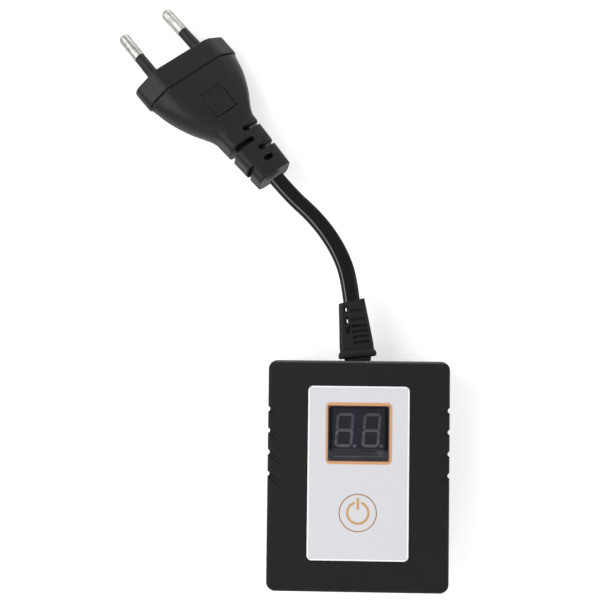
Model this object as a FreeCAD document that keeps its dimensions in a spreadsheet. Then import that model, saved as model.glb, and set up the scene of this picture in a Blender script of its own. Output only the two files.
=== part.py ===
"""Aquarium light timer: a small two-shell case with a two-digit display and one
key, fed by a short flat cord with a moulded two-pin plug.

Frame: millimetres, +Z up out of the display, +Y towards the cord end. The origin
is the middle of the case's back face. The case lies on its back, and the plug
rests on the lower corner of its flange, its rear end held up by the stiff cord.
"""
import FreeCAD, Part
import math
import os
import Sketcher
from FreeCAD import Placement, Rotation, Vector

doc = FreeCAD.newDocument("light_timer")

# Driving dimensions, in millimetres and degrees
SIZES = [
    ("case_width", 56.0),
    ("case_length", 71.0),
    ("case_depth", 30.0),
    ("case_corner", 2.8),
    ("case_edge", 1.0),
    ("case_wall", 2.2),
    ("front_wall", 2.4),
    ("front_depth", 15.0),
    ("lip_height", 1.3),
    ("lip_wall", 1.3),
    ("grip_radius", 0.9),
    ("grip_depth", 0.65),
    ("grip_pitch", 6.65),
    ("grip_first", 20.4),
    ("grip_reach", 4.9),
    ("grip_reach_step", 0.95),
    ("grip_drop", 3.5),
    ("grip_drop_step", 1.0),
    ("grip_stop", 5.0),
    ("grip_overrun", 0.4),
    ("panel_width", 31.2),
    ("panel_length", 53.5),
    ("panel_corner", 1.5),
    ("panel_thick", 0.5),
    ("panel_centre", 0.9),
    ("panel_below", 0.1),
    ("window_width", 18.5),
    ("window_length", 16.7),
    ("window_centre", 13.1),
    ("window_corner", 0.9),
    ("digit_height", 10.5),
    ("digit_width", 5.5),
    ("digit_pitch", 8.3),
    ("digit_stroke", 0.9),
    ("digit_slant", 4.0),
    ("point_diameter", 1.1),
    ("point_inset", 0.35),
    ("digit_centre", 14.1),
    ("digit_offset", -0.2),
    ("digit_thick", 0.15),
    ("segment_gap", 0.12),
    ("module_width", 16.0),
    ("module_length", 12.9),
    ("module_centre", 14.4),
    ("module_corner", 0.3),
    ("display_pin_count", 5.0),
    ("display_pin_pitch", 2.54),
    ("display_pin_row", 10.16),
    ("display_pin_size", 0.6),
    ("display_pin_hole", 0.95),
    ("display_pin_drop", 2.2),
    ("key_diameter", 11.4),
    ("key_centre", -11.2),
    ("key_thick", 0.5),
    ("key_travel", 0.4),
    ("key_stem", 4.6),
    ("key_clearance", 0.3),
    ("switch_side", 6.0),
    ("switch_height", 3.5),
    ("plunger_diameter", 3.4),
    ("plunger_reach", 1.4),
    ("plunger_sunk", 1.0),
    ("board_thick", 1.6),
    ("board_corner", 1.0),
    ("control_board_width", 46.0),
    ("control_board_length", 50.0),
    ("power_board_width", 46.0),
    ("power_board_length", 36.0),
    ("power_board_centre", 7.0),
    ("power_board_height", 4.0),
    ("board_post", 5.0),
    ("board_screw", 2.0),
    ("board_screw_head", 3.8),
    ("board_screw_head_height", 1.4),
    ("board_screw_length", 5.0),
    ("power_screw_length", 4.0),
    ("board_screw_inset", 3.2),
    ("screw_end_room", 0.3),
    ("case_screw", 2.9),
    ("case_screw_head", 5.4),
    ("case_screw_head_height", 2.0),
    ("case_screw_length", 12.0),
    ("case_screw_seat", 9.0),
    ("case_screw_x", 22.4),
    ("case_screw_y", 29.8),
    ("screw_slot", 0.8),
    ("screw_slot_length", 3.0),
    ("screw_slot_depth", 0.8),
    ("front_boss", 6.4),
    ("rear_boss", 8.4),
    ("relay_length", 20.0),
    ("relay_width", 10.0),
    ("relay_clearance", 1.1),
    ("relay_x", -10.0),
    ("relay_y", 14.0),
    ("relay_edge", 0.8),
    ("film_capacitor_length", 13.0),
    ("film_capacitor_width", 6.0),
    ("film_capacitor_clearance", 3.1),
    ("film_capacitor_x", 11.5),
    ("film_capacitor_y", 16.0),
    ("film_capacitor_edge", 0.6),
    ("can_diameter", 8.0),
    ("can_clearance", 3.1),
    ("can_x", 14.0),
    ("can_y", 5.4),
    ("can_edge", 0.7),
    ("fuse_diameter", 8.5),
    ("fuse_height", 8.0),
    ("fuse_x", -17.0),
    ("fuse_y", 1.5),
    ("varistor_diameter", 9.0),
    ("varistor_thick", 4.0),
    ("varistor_foot", 5.4),
    ("varistor_x", -6.5),
    ("varistor_y", 1.5),
    ("rectifier_length", 8.5),
    ("rectifier_width", 5.5),
    ("rectifier_height", 3.3),
    ("rectifier_x", 15.5),
    ("rectifier_y", -2.5),
    ("resistor_diameter", 2.4),
    ("resistor_length", 6.5),
    ("resistor_pitch", 3.6),
    ("resistor_x", 4.2),
    ("resistor_y", 3.5),
    ("resistor_wire", 0.6),
    ("resistor_foot", 1.2),
    ("link_pins", 5.0),
    ("link_pitch", 2.54),
    ("link_base", 2.5),
    ("link_pin_size", 0.64),
    ("link_y", -8.0),
    ("controller_length", 10.0),
    ("controller_width", 4.0),
    ("controller_height", 1.6),
    ("controller_x", -14.0),
    ("controller_y", -6.0),
    ("crystal_length", 11.0),
    ("crystal_width", 4.6),
    ("crystal_height", 3.5),
    ("crystal_corner", 2.1),
    ("crystal_x", 14.0),
    ("crystal_y", -6.0),
    ("socket_spacing", 19.0),
    ("socket_entry", 5.0),
    ("socket_entry_depth", 6.0),
    ("socket_face_width", 32.0),
    ("socket_face_height", 8.0),
    ("socket_body_width", 35.0),
    ("socket_body_height", 9.6),
    ("socket_body_depth", 19.5),
    ("socket_clearance", 0.9),
    ("contact_outer", 6.0),
    ("contact_inner", 4.1),
    ("contact_length", 14.2),
    ("contact_slit", 0.8),
    ("contact_root", 3.0),
    ("contact_end_wall", 0.8),
    ("socket_rib", 1.6),
    ("socket_rib_spacing", 25.0),
    ("socket_rib_setback", 1.5),
    ("lead_diameter", 2.2),
    ("lead_bend", 4.0),
    ("core_spacing", 2.6),
    ("supply_lead_y", 22.4),
    ("socket_lead_y", -6.5),
    ("grommet_offset", -0.4),
    ("grommet_length", 20.2),
    ("grommet_neck_width", 6.8),
    ("grommet_neck_height", 6.0),
    ("grommet_neck_length", 1.3),
    ("grommet_flange_width", 11.8),
    ("grommet_flange_height", 8.8),
    ("grommet_flange_length", 1.3),
    ("grommet_base_width", 10.6),
    ("grommet_base_height", 7.8),
    ("grommet_end_width", 7.6),
    ("grommet_end_height", 5.8),
    ("grommet_collar", 2.6),
    ("grommet_lock_width", 11.0),
    ("grommet_lock_height", 8.4),
    ("grommet_lock_length", 1.4),
    ("grommet_lean_start", 6.0),
    ("grommet_lean_end", 7.5),
    ("grommet_lean_reach", 1.3),
    ("grommet_rise_end", 3.0),
    ("grommet_slot", 0.75),
    ("grommet_slot_left", -1.2),
    ("grommet_core_wall", 0.5),
    ("grommet_hole_x", -2.15),
    ("grommet_hole_width", 1.1),
    ("grommet_hole_length", 1.9),
    ("grommet_edge", 1.5),
    ("cord_width", 5.3),
    ("cord_thick", 3.2),
    ("plug_heading", 40.9),
    ("plug_roll", 18.7),
    ("plug_tilt", 3.0),
    ("plug_end_x", -27.8),
    ("plug_end_y", 95.6),
    ("plug_length", 50.8),
    ("flange_width", 35.3),
    ("flange_thick", 13.7),
    ("flange_depth", 7.5),
    ("flange_chamfer_width", 6.6),
    ("flange_chamfer_height", 4.9),
    ("groove_width", 0.8),
    ("groove_depth", 0.5),
    ("shoulder_bulge", 0.12),
    ("shoulder_narrowing", 0.62),
    ("shoulder_thinning", 0.5),
    ("body_crown", 0.35),
    ("relief_corner_width", 2.0),
    ("relief_corner_height", 1.9),
    ("relief_start", 31.0),
    ("relief_width", 12.6),
    ("relief_thick", 9.6),
    ("relief_end_width", 11.2),
    ("relief_end_thick", 8.4),
    ("relief_slot", 1.15),
    ("relief_slot_first", 33.8),
    ("relief_slot_pitch", 4.2),
    ("relief_core_wall", 0.8),
    ("relief_slot_right", 0.2),
    ("relief_slot_left", 1.3),
    ("mark_width", 8.8),
    ("mark_length", 9.4),
    ("mark_centre", 20.0),
    ("mark_depth", 0.35),
    ("mark_slope", 2.7),
    ("mark_level", 0.62),
    ("pin_diameter", 4.0),
    ("pin_length", 19.0),
    ("pin_spacing", 18.6),
    ("pin_tip_spacing", 17.5),
    ("pin_metal", 9.5),
    ("pin_core", 3.0),
    ("pin_tail", 9.0),
    ("pin_tip_round", 1.44),
    ("pin_overlap", 0.5),
    ("sleeve_diameter", 4.0),
    ("sleeve_root", 0.25),
    ("bridge_width", 26.0),
    ("bridge_thick", 7.6),
    ("bridge_depth", 7.0),
    ("bridge_start", 2.0),
    ("fit_gap", 0.1),
    ("panel_gap", 0.15),
    ("rest_gap", 0.02),
]

# Sizes that follow from others. The parting line is measured from the front, the control
# board rides just above the socket block, and the tall components keep clear of it.
DERIVED = [
    ("rear_depth", "=case_depth - front_depth"),
    ("module_height", "=front_depth - panel_below - panel_thick - fit_gap - board_thick"
                      " - socket_clearance - socket_body_height / 2"),
    ("component_room", "=rear_depth + socket_body_height / 2 + socket_clearance"
                       " - power_board_height - board_thick"),
    ("relay_height", "=component_room - relay_clearance"),
    ("film_capacitor_height", "=component_room - film_capacitor_clearance"),
    ("can_height", "=component_room - can_clearance"),
]

sheet = doc.addObject("Spreadsheet::Sheet", "Sizes")
sheet.Label = "driving dimensions"
for row, (alias, value) in enumerate(SIZES + DERIVED, start=1):
    sheet.set("A%d" % row, alias)
    sheet.set("B%d" % row, str(value))
    sheet.setAlias("B%d" % row, alias)
doc.recompute()


def size(alias):
    return float(sheet.get(alias))


kept = []


def keep(item, node):
    """Give a finished sub-part its name; the file is named after it."""
    item.Label = node
    kept.append((node, item))
    return item


def bind(item, **expressions):
    for prop, text in expressions.items():
        item.setExpression(prop, text)
    return item


def at(item, x="0", y="0", z="0"):
    """Tie a placement to the sheet."""
    item.setExpression("Placement.Base.x", x)
    item.setExpression("Placement.Base.y", y)
    item.setExpression("Placement.Base.z", z)
    return item


def block(width, length, height, x="0", y="0", z="0"):
    """A box centred on x and y, standing on z."""
    item = doc.addObject("Part::Box", "Block")
    bind(item, Length=width, Width=length, Height=height)
    return at(item, "(%s) - (%s) / 2" % (x, width), "(%s) - (%s) / 2" % (y, length), z)


def upright(radius, height, x="0", y="0", z="0"):
    """A cylinder along +Z."""
    item = doc.addObject("Part::Cylinder", "Upright")
    bind(item, Radius=radius, Height=height)
    return at(item, x, y, z)


def lying(radius, length, x="0", y="0", z="0"):
    """A cylinder along +Y."""
    item = doc.addObject("Part::Cylinder", "Lying")
    bind(item, Radius=radius, Height=length)
    item.Placement = Placement(Vector(), Rotation(Vector(1, 0, 0), -90))
    return at(item, x, y, z)


def fuse(items):
    if len(items) == 1:
        return items[0]
    whole = doc.addObject("Part::MultiFuse", "Whole")
    whole.Shapes = items
    return whole


def cut(base, tools):
    left = doc.addObject("Part::Cut", "Cut")
    left.Base = base
    left.Tool = fuse(tools)
    return left


def group(items):
    """Like pieces that stay separate solids in one node."""
    whole = doc.addObject("Part::Compound", "Group")
    whole.Links = items
    return whole


def rounded(item, radius, chosen):
    """Round the edges that the test picks."""
    doc.recompute()
    result = doc.addObject("Part::Fillet", "Rounded")
    result.Base = item
    picked = [i for i, edge in enumerate(item.Shape.Edges, start=1) if chosen(edge)]
    result.Edges = [(i, size(radius), size(radius)) for i in picked]
    return result


def on_level(edge, level):
    return all(abs(v.Point.z - level) < 1e-4 for v in edge.Vertexes)


# Sketched bodies

def new_body(name):
    return doc.addObject("PartDesign::Body", name)


def new_sketch(body, z="0", x="0", y="0"):
    """A sketch parallel to the body's own XY plane, shifted by the sheet."""
    sketch = body.newObject("Sketcher::SketchObject", "Sketch")
    plane = [f for f in body.Origin.OriginFeatures if f.Role == "XY_Plane"][0]
    sketch.AttachmentSupport = [(plane, "")]
    sketch.MapMode = "FlatFace"
    sketch.setExpression("AttachmentOffset.Base.x", x)
    sketch.setExpression("AttachmentOffset.Base.y", y)
    sketch.setExpression("AttachmentOffset.Base.z", z)
    return sketch


def drive(sketch, name, text):
    sketch.setExpression("Constraints.%s" % name, text)


def named(sketch, name, constraint):
    index = sketch.addConstraint(constraint)
    sketch.renameConstraint(index, name)


def outline(body, width, length, radius, z="0", x="0", y="0"):
    """A rectangle with round corners, centred on x and y."""
    sketch = new_sketch(body, z, x, y)
    a = sheet.evalExpression(width) / 2
    b = sheet.evalExpression(length) / 2
    r = sheet.evalExpression(radius)
    for start, end in (((r - a, -b), (a - r, -b)), ((a, r - b), (a, b - r)),
                       ((a - r, b), (r - a, b)), ((-a, b - r), (-a, r - b))):
        sketch.addGeometry(Part.LineSegment(Vector(*start, 0), Vector(*end, 0)))
    for turn, (cx, cy) in enumerate(((a - r, r - b), (a - r, b - r), (r - a, b - r), (r - a, r - b))):
        circle = Part.Circle(Vector(cx, cy, 0), Vector(0, 0, 1), r)
        start = math.radians(90 * turn - 90)
        sketch.addGeometry(Part.ArcOfCircle(circle, start, start + math.pi / 2))
    for side in range(4):
        sketch.addConstraint(Sketcher.Constraint("Tangent", side, 2, 4 + side, 1))
        sketch.addConstraint(Sketcher.Constraint("Tangent", 4 + side, 2, (side + 1) % 4, 1))
    for corner in (5, 6, 7):
        sketch.addConstraint(Sketcher.Constraint("Equal", 4, corner))
    sketch.addConstraint(Sketcher.Constraint("Horizontal", 0))
    sketch.addConstraint(Sketcher.Constraint("Vertical", 1))
    sketch.addConstraint(Sketcher.Constraint("Symmetric", 4, 3, 6, 3, -1, 1))
    named(sketch, "corner", Sketcher.Constraint("Radius", 4, r))
    named(sketch, "wide", Sketcher.Constraint("DistanceX", 7, 3, 4, 3, 2 * (a - r)))
    named(sketch, "long", Sketcher.Constraint("DistanceY", 4, 3, 5, 3, 2 * (b - r)))
    drive(sketch, "corner", radius)
    drive(sketch, "wide", "(%s) - 2 * (%s)" % (width, radius))
    drive(sketch, "long", "(%s) - 2 * (%s)" % (length, radius))
    return sketch


def circles(body, diameter, centres, z="0"):
    """One circle at each centre, all of one diameter."""
    sketch = new_sketch(body, z)
    d = sheet.evalExpression(diameter)
    for i, (x, y) in enumerate(centres):
        cx = sheet.evalExpression(x)
        cy = sheet.evalExpression(y)
        sketch.addGeometry(Part.Circle(Vector(cx, cy, 0), Vector(0, 0, 1), d / 2))
        named(sketch, "x%d" % i, Sketcher.Constraint("DistanceX", -1, 1, i, 3, cx))
        named(sketch, "y%d" % i, Sketcher.Constraint("DistanceY", -1, 1, i, 3, cy))
        named(sketch, "d%d" % i, Sketcher.Constraint("Diameter", i, d))
        drive(sketch, "x%d" % i, x)
        drive(sketch, "y%d" % i, y)
        drive(sketch, "d%d" % i, diameter)
    return sketch


def pad(body, sketch, length):
    feature = body.newObject("PartDesign::Pad", "Pad")
    feature.Profile = sketch
    feature.setExpression("Length", length)
    doc.recompute()
    return feature


def pocket(body, sketch, length, upward=False):
    before = body.Shape.Volume
    feature = body.newObject("PartDesign::Pocket", "Pocket")
    feature.Profile = sketch
    feature.Reversed = upward
    feature.setExpression("Length", length)
    doc.recompute()
    if body.Shape.Volume > before - 1e-3:
        raise RuntimeError("a pocket cut nothing")
    return feature


def soften(body, feature, radius, chosen):
    """Round edges of a sketched body."""
    fillet = body.newObject("PartDesign::Fillet", "Soft")
    names = ["Edge%d" % i for i, e in enumerate(feature.Shape.Edges, start=1) if chosen(e)]
    fillet.Base = (feature, names)
    fillet.setExpression("Radius", radius)
    doc.recompute()
    return fillet


# Levels that several pieces share, written once
PANEL_TOP = "Sizes.case_depth - Sizes.panel_below"
PANEL_SEAT = "Sizes.case_depth - Sizes.panel_below - Sizes.panel_thick"
FRONT_INSIDE = "Sizes.case_depth - Sizes.front_wall"
MODULE_TOP = PANEL_SEAT + " - Sizes.fit_gap"
BOARD_TOP = MODULE_TOP + " - Sizes.module_height"
BOARD_UNDER = BOARD_TOP + " - Sizes.board_thick"
POWER_TOP = "Sizes.power_board_height + Sizes.board_thick"
CASE_END = "Sizes.case_length / 2"
SOCKET_INNER = "-(Sizes.case_length / 2 - Sizes.case_wall) + Sizes.fit_gap"

CORNERS = [(1, 1), (-1, 1), (-1, -1), (1, -1)]
CASE_SCREWS = [("%d * Sizes.case_screw_x" % sx, "%d * Sizes.case_screw_y" % sy) for sx, sy in CORNERS]
CONTROL_SCREWS = [("%d * (Sizes.control_board_width / 2 - Sizes.board_screw_inset)" % sx,
                   "%d * (Sizes.control_board_length / 2 - Sizes.board_screw_inset)" % sy)
                  for sx, sy in CORNERS]
POWER_SCREWS = [("%d * (Sizes.power_board_width / 2 - Sizes.board_screw_inset)" % sx,
                 "Sizes.power_board_centre + %d * (Sizes.power_board_length / 2 - Sizes.board_screw_inset)"
                 % sy)
                for sx, sy in CORNERS]


# Case

def grip_cutters(bottom, with_front):
    """Four grooves a side: a notch up the side wall, then a slanting groove that
    rises out of the front face."""
    tools = []
    radius = size("grip_radius")
    offset = size("case_width") / 2 + radius - size("grip_depth")
    top = size("case_depth")
    for row in range(4):
        y = size("grip_first") - row * size("grip_pitch")
        reach = size("grip_reach") + row * size("grip_reach_step")
        drop = size("grip_drop") + row * size("grip_drop_step")
        for side in (-1, 1):
            start = Vector(side * offset, y, bottom)
            tools.append(Part.makeCylinder(radius, top - bottom + 1, start, Vector(0, 0, 1)))
            if not with_front:
                continue
            edge = Vector(side * size("case_width") / 2, y, top + radius - size("grip_depth"))
            fade = Vector(side * (size("case_width") / 2 - reach), y - drop, top + radius)
            run = fade - edge
            overrun = size("grip_overrun")
            tools.append(Part.makeCylinder(radius, run.Length * (1 + overrun), edge - run * overrun, run))
    feature = doc.addObject("Part::Feature", "Grips")
    feature.Shape = tools[0].multiFuse(tools[1:])
    return feature


def cord_opening():
    """The slot at the parting line that the grommet's neck sits in."""
    return block("Sizes.grommet_neck_width + 2 * Sizes.fit_gap", "3 * Sizes.case_wall",
                 "Sizes.grommet_neck_height + 2 * Sizes.fit_gap", "Sizes.grommet_offset", CASE_END,
                 "Sizes.rear_depth - Sizes.grommet_neck_height / 2 - Sizes.fit_gap")


def socket_opening():
    """The slot at the parting line that the output socket's face fills."""
    return block("Sizes.socket_face_width + 2 * Sizes.fit_gap", "3 * Sizes.case_wall",
                 "Sizes.socket_face_height + 2 * Sizes.fit_gap", "0", "-(%s)" % CASE_END,
                 "Sizes.rear_depth - Sizes.socket_face_height / 2 - Sizes.fit_gap")


def front_shell():
    body = new_body("FrontBlank")
    height = "Sizes.case_depth - Sizes.rear_depth"
    shell = pad(body, outline(body, "Sizes.case_width", "Sizes.case_length", "Sizes.case_corner",
                              "Sizes.rear_depth"), height)
    soften(body, shell, "Sizes.case_edge", lambda e: on_level(e, size("case_depth")))
    pocket(body, outline(body, "Sizes.case_width - 2 * Sizes.case_wall",
                         "Sizes.case_length - 2 * Sizes.case_wall", "Sizes.case_corner / 2",
                         "Sizes.rear_depth"), height + " - Sizes.front_wall", upward=True)
    pocket(body, outline(body, "Sizes.case_width - 2 * Sizes.lip_wall + 2 * Sizes.fit_gap",
                         "Sizes.case_length - 2 * Sizes.lip_wall + 2 * Sizes.fit_gap",
                         "Sizes.case_corner / 2 + Sizes.lip_wall / 2", "Sizes.rear_depth"),
           "Sizes.lip_height + Sizes.fit_gap", upward=True)
    pad(body, circles(body, "Sizes.front_boss", CASE_SCREWS, "Sizes.rear_depth"),
        height + " - Sizes.front_wall / 2")
    post_height = "%s - (%s) + Sizes.front_wall / 2" % (FRONT_INSIDE, BOARD_TOP)
    pad(body, circles(body, "Sizes.board_post", CONTROL_SCREWS, BOARD_TOP), post_height)
    pocket(body, circles(body, "Sizes.case_screw + 2 * Sizes.fit_gap", CASE_SCREWS, "Sizes.rear_depth"),
           "Sizes.case_screw_length + Sizes.case_screw_seat - Sizes.rear_depth + Sizes.screw_end_room",
           upward=True)
    pocket(body, circles(body, "Sizes.board_screw + 2 * Sizes.fit_gap", CONTROL_SCREWS, BOARD_TOP),
           "Sizes.board_screw_length - Sizes.board_thick + Sizes.screw_end_room", upward=True)
    pocket(body, outline(body, "Sizes.panel_width + 2 * Sizes.panel_gap",
                         "Sizes.panel_length + 2 * Sizes.panel_gap", "Sizes.panel_corner + Sizes.panel_gap",
                         "Sizes.case_depth", y="Sizes.panel_centre"),
           "Sizes.panel_thick + Sizes.panel_below")
    pocket(body, outline(body, "Sizes.module_width + 2 * Sizes.fit_gap",
                         "Sizes.module_length + 2 * Sizes.fit_gap", "Sizes.module_corner",
                         "Sizes.case_depth", y="Sizes.module_centre"), "2 * Sizes.front_wall")
    key = [("0", "Sizes.key_centre")]
    pocket(body, circles(body, "Sizes.key_diameter + 2 * Sizes.key_clearance", key, "Sizes.case_depth"),
           "Sizes.panel_thick + Sizes.panel_below + Sizes.key_travel + Sizes.key_clearance")
    pocket(body, circles(body, "Sizes.key_stem + 2 * Sizes.key_clearance", key, "Sizes.case_depth"),
           "2 * Sizes.front_wall")
    tools = [grip_cutters(size("grip_stop"), True), cord_opening(), socket_opening()]
    return keep(cut(body, tools), "front_shell")


def rear_shell():
    body = new_body("RearBlank")
    shell = pad(body, outline(body, "Sizes.case_width", "Sizes.case_length", "Sizes.case_corner"),
                "Sizes.rear_depth")
    soften(body, shell, "Sizes.case_edge", lambda e: on_level(e, 0))
    pad(body, outline(body, "Sizes.case_width - 2 * Sizes.lip_wall",
                      "Sizes.case_length - 2 * Sizes.lip_wall",
                      "Sizes.case_corner / 2 + Sizes.lip_wall / 2"),
        "Sizes.rear_depth + Sizes.lip_height")
    pocket(body, outline(body, "Sizes.case_width - 2 * Sizes.case_wall",
                         "Sizes.case_length - 2 * Sizes.case_wall", "Sizes.case_corner / 2",
                         "Sizes.rear_depth + Sizes.lip_height"),
           "Sizes.rear_depth + Sizes.lip_height - Sizes.case_wall")
    pad(body, circles(body, "Sizes.rear_boss", CASE_SCREWS, "Sizes.case_wall / 2"),
        "Sizes.rear_depth - Sizes.case_wall / 2")
    pad(body, circles(body, "Sizes.board_post", POWER_SCREWS, "Sizes.case_wall / 2"),
        "Sizes.power_board_height - Sizes.case_wall / 2")
    pocket(body, circles(body, "Sizes.case_screw_head + 6 * Sizes.fit_gap", CASE_SCREWS),
           "Sizes.case_screw_seat", upward=True)
    pocket(body, circles(body, "Sizes.case_screw + 2 * Sizes.fit_gap", CASE_SCREWS), "Sizes.case_depth",
           upward=True)
    pocket(body, circles(body, "Sizes.board_screw + 2 * Sizes.fit_gap", POWER_SCREWS,
                         "Sizes.power_board_height"),
           "Sizes.power_screw_length - Sizes.board_thick + Sizes.screw_end_room")
    tools = [grip_cutters(size("grip_stop"), False), cord_opening(), socket_opening()]
    return keep(cut(fuse([body] + socket_supports()), tools), "rear_shell")


def socket_supports():
    """Ribs that the socket block lies on, and a stop behind it on each side."""
    floor = "Sizes.case_wall / 2"
    supports = []
    for side in (-1, 1):
        x = "%d * Sizes.socket_rib_spacing / 2" % side
        supports.append(block("Sizes.socket_rib", "Sizes.socket_body_depth - 2 * Sizes.socket_rib_setback",
                              "Sizes.rear_depth - Sizes.socket_body_height / 2 - " + floor, x,
                              "%s + Sizes.socket_body_depth / 2" % SOCKET_INNER, floor))
        supports.append(block("Sizes.socket_rib", "Sizes.socket_rib", "Sizes.rear_depth - " + floor, x,
                              "%s + Sizes.socket_body_depth + Sizes.socket_rib / 2" % SOCKET_INNER, floor))
    return supports


def case_screws():
    """Pan heads with a cross recess, seated at the bottom of their wells."""
    screws = []
    foot = "Sizes.case_screw_seat - Sizes.case_screw_head_height"
    for x, y in CASE_SCREWS:
        head = upright("Sizes.case_screw_head / 2", "Sizes.case_screw_head_height", x, y, foot)
        slots = [block(wide, long, "Sizes.screw_slot_depth", x, y, foot)
                 for wide, long in (("Sizes.screw_slot", "Sizes.screw_slot_length"),
                                    ("Sizes.screw_slot_length", "Sizes.screw_slot"))]
        shank = upright("Sizes.case_screw / 2", "Sizes.case_screw_length", x, y, "Sizes.case_screw_seat")
        screws.append(cut(fuse([head, shank]), slots))
    return keep(group(screws), "case_screws")


# Front panel, display and key

def overlay_panel():
    body = new_body("Panel")
    pad(body, outline(body, "Sizes.panel_width", "Sizes.panel_length", "Sizes.panel_corner", PANEL_SEAT,
                      y="Sizes.panel_centre"), "Sizes.panel_thick")
    pocket(body, outline(body, "Sizes.window_width", "Sizes.window_length", "Sizes.window_corner",
                         PANEL_TOP, y="Sizes.window_centre"), "2 * Sizes.panel_thick")
    pocket(body, circles(body, "Sizes.key_diameter + 2 * Sizes.fit_gap", [("0", "Sizes.key_centre")],
                         PANEL_TOP), "2 * Sizes.panel_thick")
    return keep(body, "overlay_panel")


def display_lens():
    body = new_body("Lens")
    pad(body, outline(body, "Sizes.window_width - Sizes.fit_gap", "Sizes.window_length - Sizes.fit_gap",
                      "Sizes.window_corner - Sizes.fit_gap / 2", PANEL_SEAT, y="Sizes.window_centre"),
        "Sizes.panel_thick")
    return keep(body, "display_lens")


def display_module(segments):
    """The moulded block, with a shallow hollow for each segment and point."""
    module = block("Sizes.module_width", "Sizes.module_length", "Sizes.module_height", "0",
                   "Sizes.module_centre", BOARD_TOP)
    return keep(cut(module, [segments]), "display_module")


def bar_outline(length, stroke):
    """A segment lying along X, with pointed ends."""
    a = length / 2
    b = stroke / 2
    return [(-a, 0), (b - a, b), (a - b, b), (a, 0), (a - b, -b), (b - a, -b)]


def segment_places(width, height, stroke):
    """Middle and direction of each of a digit's seven segments."""
    half = (height - stroke) / 2
    side = (width - stroke) / 2
    level = [(0, row * half, False, width - stroke) for row in (-1, 0, 1)]
    upright_ones = [(column * side, row * half / 2, True, half) for column in (-1, 1) for row in (-1, 1)]
    return level + upright_ones


def display_segments():
    """The digits' windows and points, let down on the module's face."""
    stroke = size("digit_stroke")
    lean = math.tan(math.radians(size("digit_slant")))
    base = sheet.evalExpression(MODULE_TOP) - size("digit_thick")
    solids = []
    for side in (-1, 1):
        middle = size("digit_offset") + side * size("digit_pitch") / 2
        for x, y, turned, length in segment_places(size("digit_width"), size("digit_height"), stroke):
            points = []
            for u, v in bar_outline(length - size("segment_gap"), stroke):
                px, py = (x - v, y + u) if turned else (x + u, y + v)
                points.append(Vector(middle + px + py * lean, size("digit_centre") + py, base))
            face = Part.Face(Part.makePolygon(points + points[:1]))
            solids.append(face.extrude(Vector(0, 0, size("digit_thick"))))
        corner = Vector(middle + size("digit_width") / 2 + size("point_inset"),
                        size("digit_centre") - size("digit_height") / 2 + stroke / 2, base)
        solids.append(Part.makeCylinder(size("point_diameter") / 2, size("digit_thick"), corner))
    feature = doc.addObject("Part::Feature", "Segments")
    feature.Shape = Part.makeCompound(solids)
    return keep(feature, "display_segments")


def display_pins():
    """Two rows of pins under the module, through the control board."""
    pins = []
    count = int(size("display_pin_count"))
    for row in (-1, 1):
        for i in range(count):
            x = "(%d - (Sizes.display_pin_count - 1) / 2) * Sizes.display_pin_pitch" % i
            y = "Sizes.module_centre + %d * Sizes.display_pin_row / 2" % row
            pins.append(block("Sizes.display_pin_size", "Sizes.display_pin_size", "Sizes.display_pin_drop",
                              x, y, "%s - Sizes.display_pin_drop" % BOARD_TOP))
    return keep(group(pins), "display_pins")


def power_key_cap():
    body = new_body("KeyCap")
    key = [("0", "Sizes.key_centre")]
    disc_under = PANEL_TOP + " - Sizes.key_thick"
    stem_foot = "%s + Sizes.switch_height + Sizes.plunger_reach" % BOARD_TOP
    pad(body, circles(body, "Sizes.key_stem", key, stem_foot),
        "%s - (%s) + Sizes.key_thick / 2" % (disc_under, stem_foot))
    pad(body, circles(body, "Sizes.key_diameter", key, disc_under), "Sizes.key_thick")
    return keep(body, "power_key_cap")


def tact_switch():
    """The switch on the board, and its plunger, which the key pushes in."""
    base = "%s + Sizes.switch_height - Sizes.plunger_sunk" % BOARD_TOP
    body = block("Sizes.switch_side", "Sizes.switch_side", "Sizes.switch_height", "0", "Sizes.key_centre",
                 BOARD_TOP)
    bore = upright("Sizes.plunger_diameter / 2 + Sizes.fit_gap", "Sizes.switch_height", "0",
                   "Sizes.key_centre", base + " - Sizes.key_travel - Sizes.key_clearance")
    keep(cut(body, [bore]), "tact_switch_body")
    plunger = upright("Sizes.plunger_diameter / 2", "Sizes.plunger_sunk + Sizes.plunger_reach", "0",
                      "Sizes.key_centre", base)
    keep(plunger, "tact_switch_plunger")


# Boards and what stands on them

def drilled_board(name, width, length, y, z, holes):
    body = new_body(name)
    pad(body, outline(body, width, length, "Sizes.board_corner", z, y=y), "Sizes.board_thick")
    pocket(body, circles(body, "Sizes.board_screw + 4 * Sizes.fit_gap", holes, z + " + Sizes.board_thick"),
           "2 * Sizes.board_thick")
    return body


def control_board():
    body = drilled_board("ControlBoard", "Sizes.control_board_width", "Sizes.control_board_length", "0",
                         BOARD_UNDER, CONTROL_SCREWS)
    count = int(size("display_pin_count"))
    centres = [("(%d - (Sizes.display_pin_count - 1) / 2) * Sizes.display_pin_pitch" % i,
                "Sizes.module_centre + %d * Sizes.display_pin_row / 2" % row)
               for row in (-1, 1) for i in range(count)]
    pocket(body, circles(body, "Sizes.display_pin_hole", centres, BOARD_TOP), "2 * Sizes.board_thick")
    return keep(body, "control_board")


def power_board():
    body = drilled_board("PowerBoard", "Sizes.power_board_width", "Sizes.power_board_length",
                         "Sizes.power_board_centre", "Sizes.power_board_height", POWER_SCREWS)
    return keep(body, "power_board")


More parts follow.
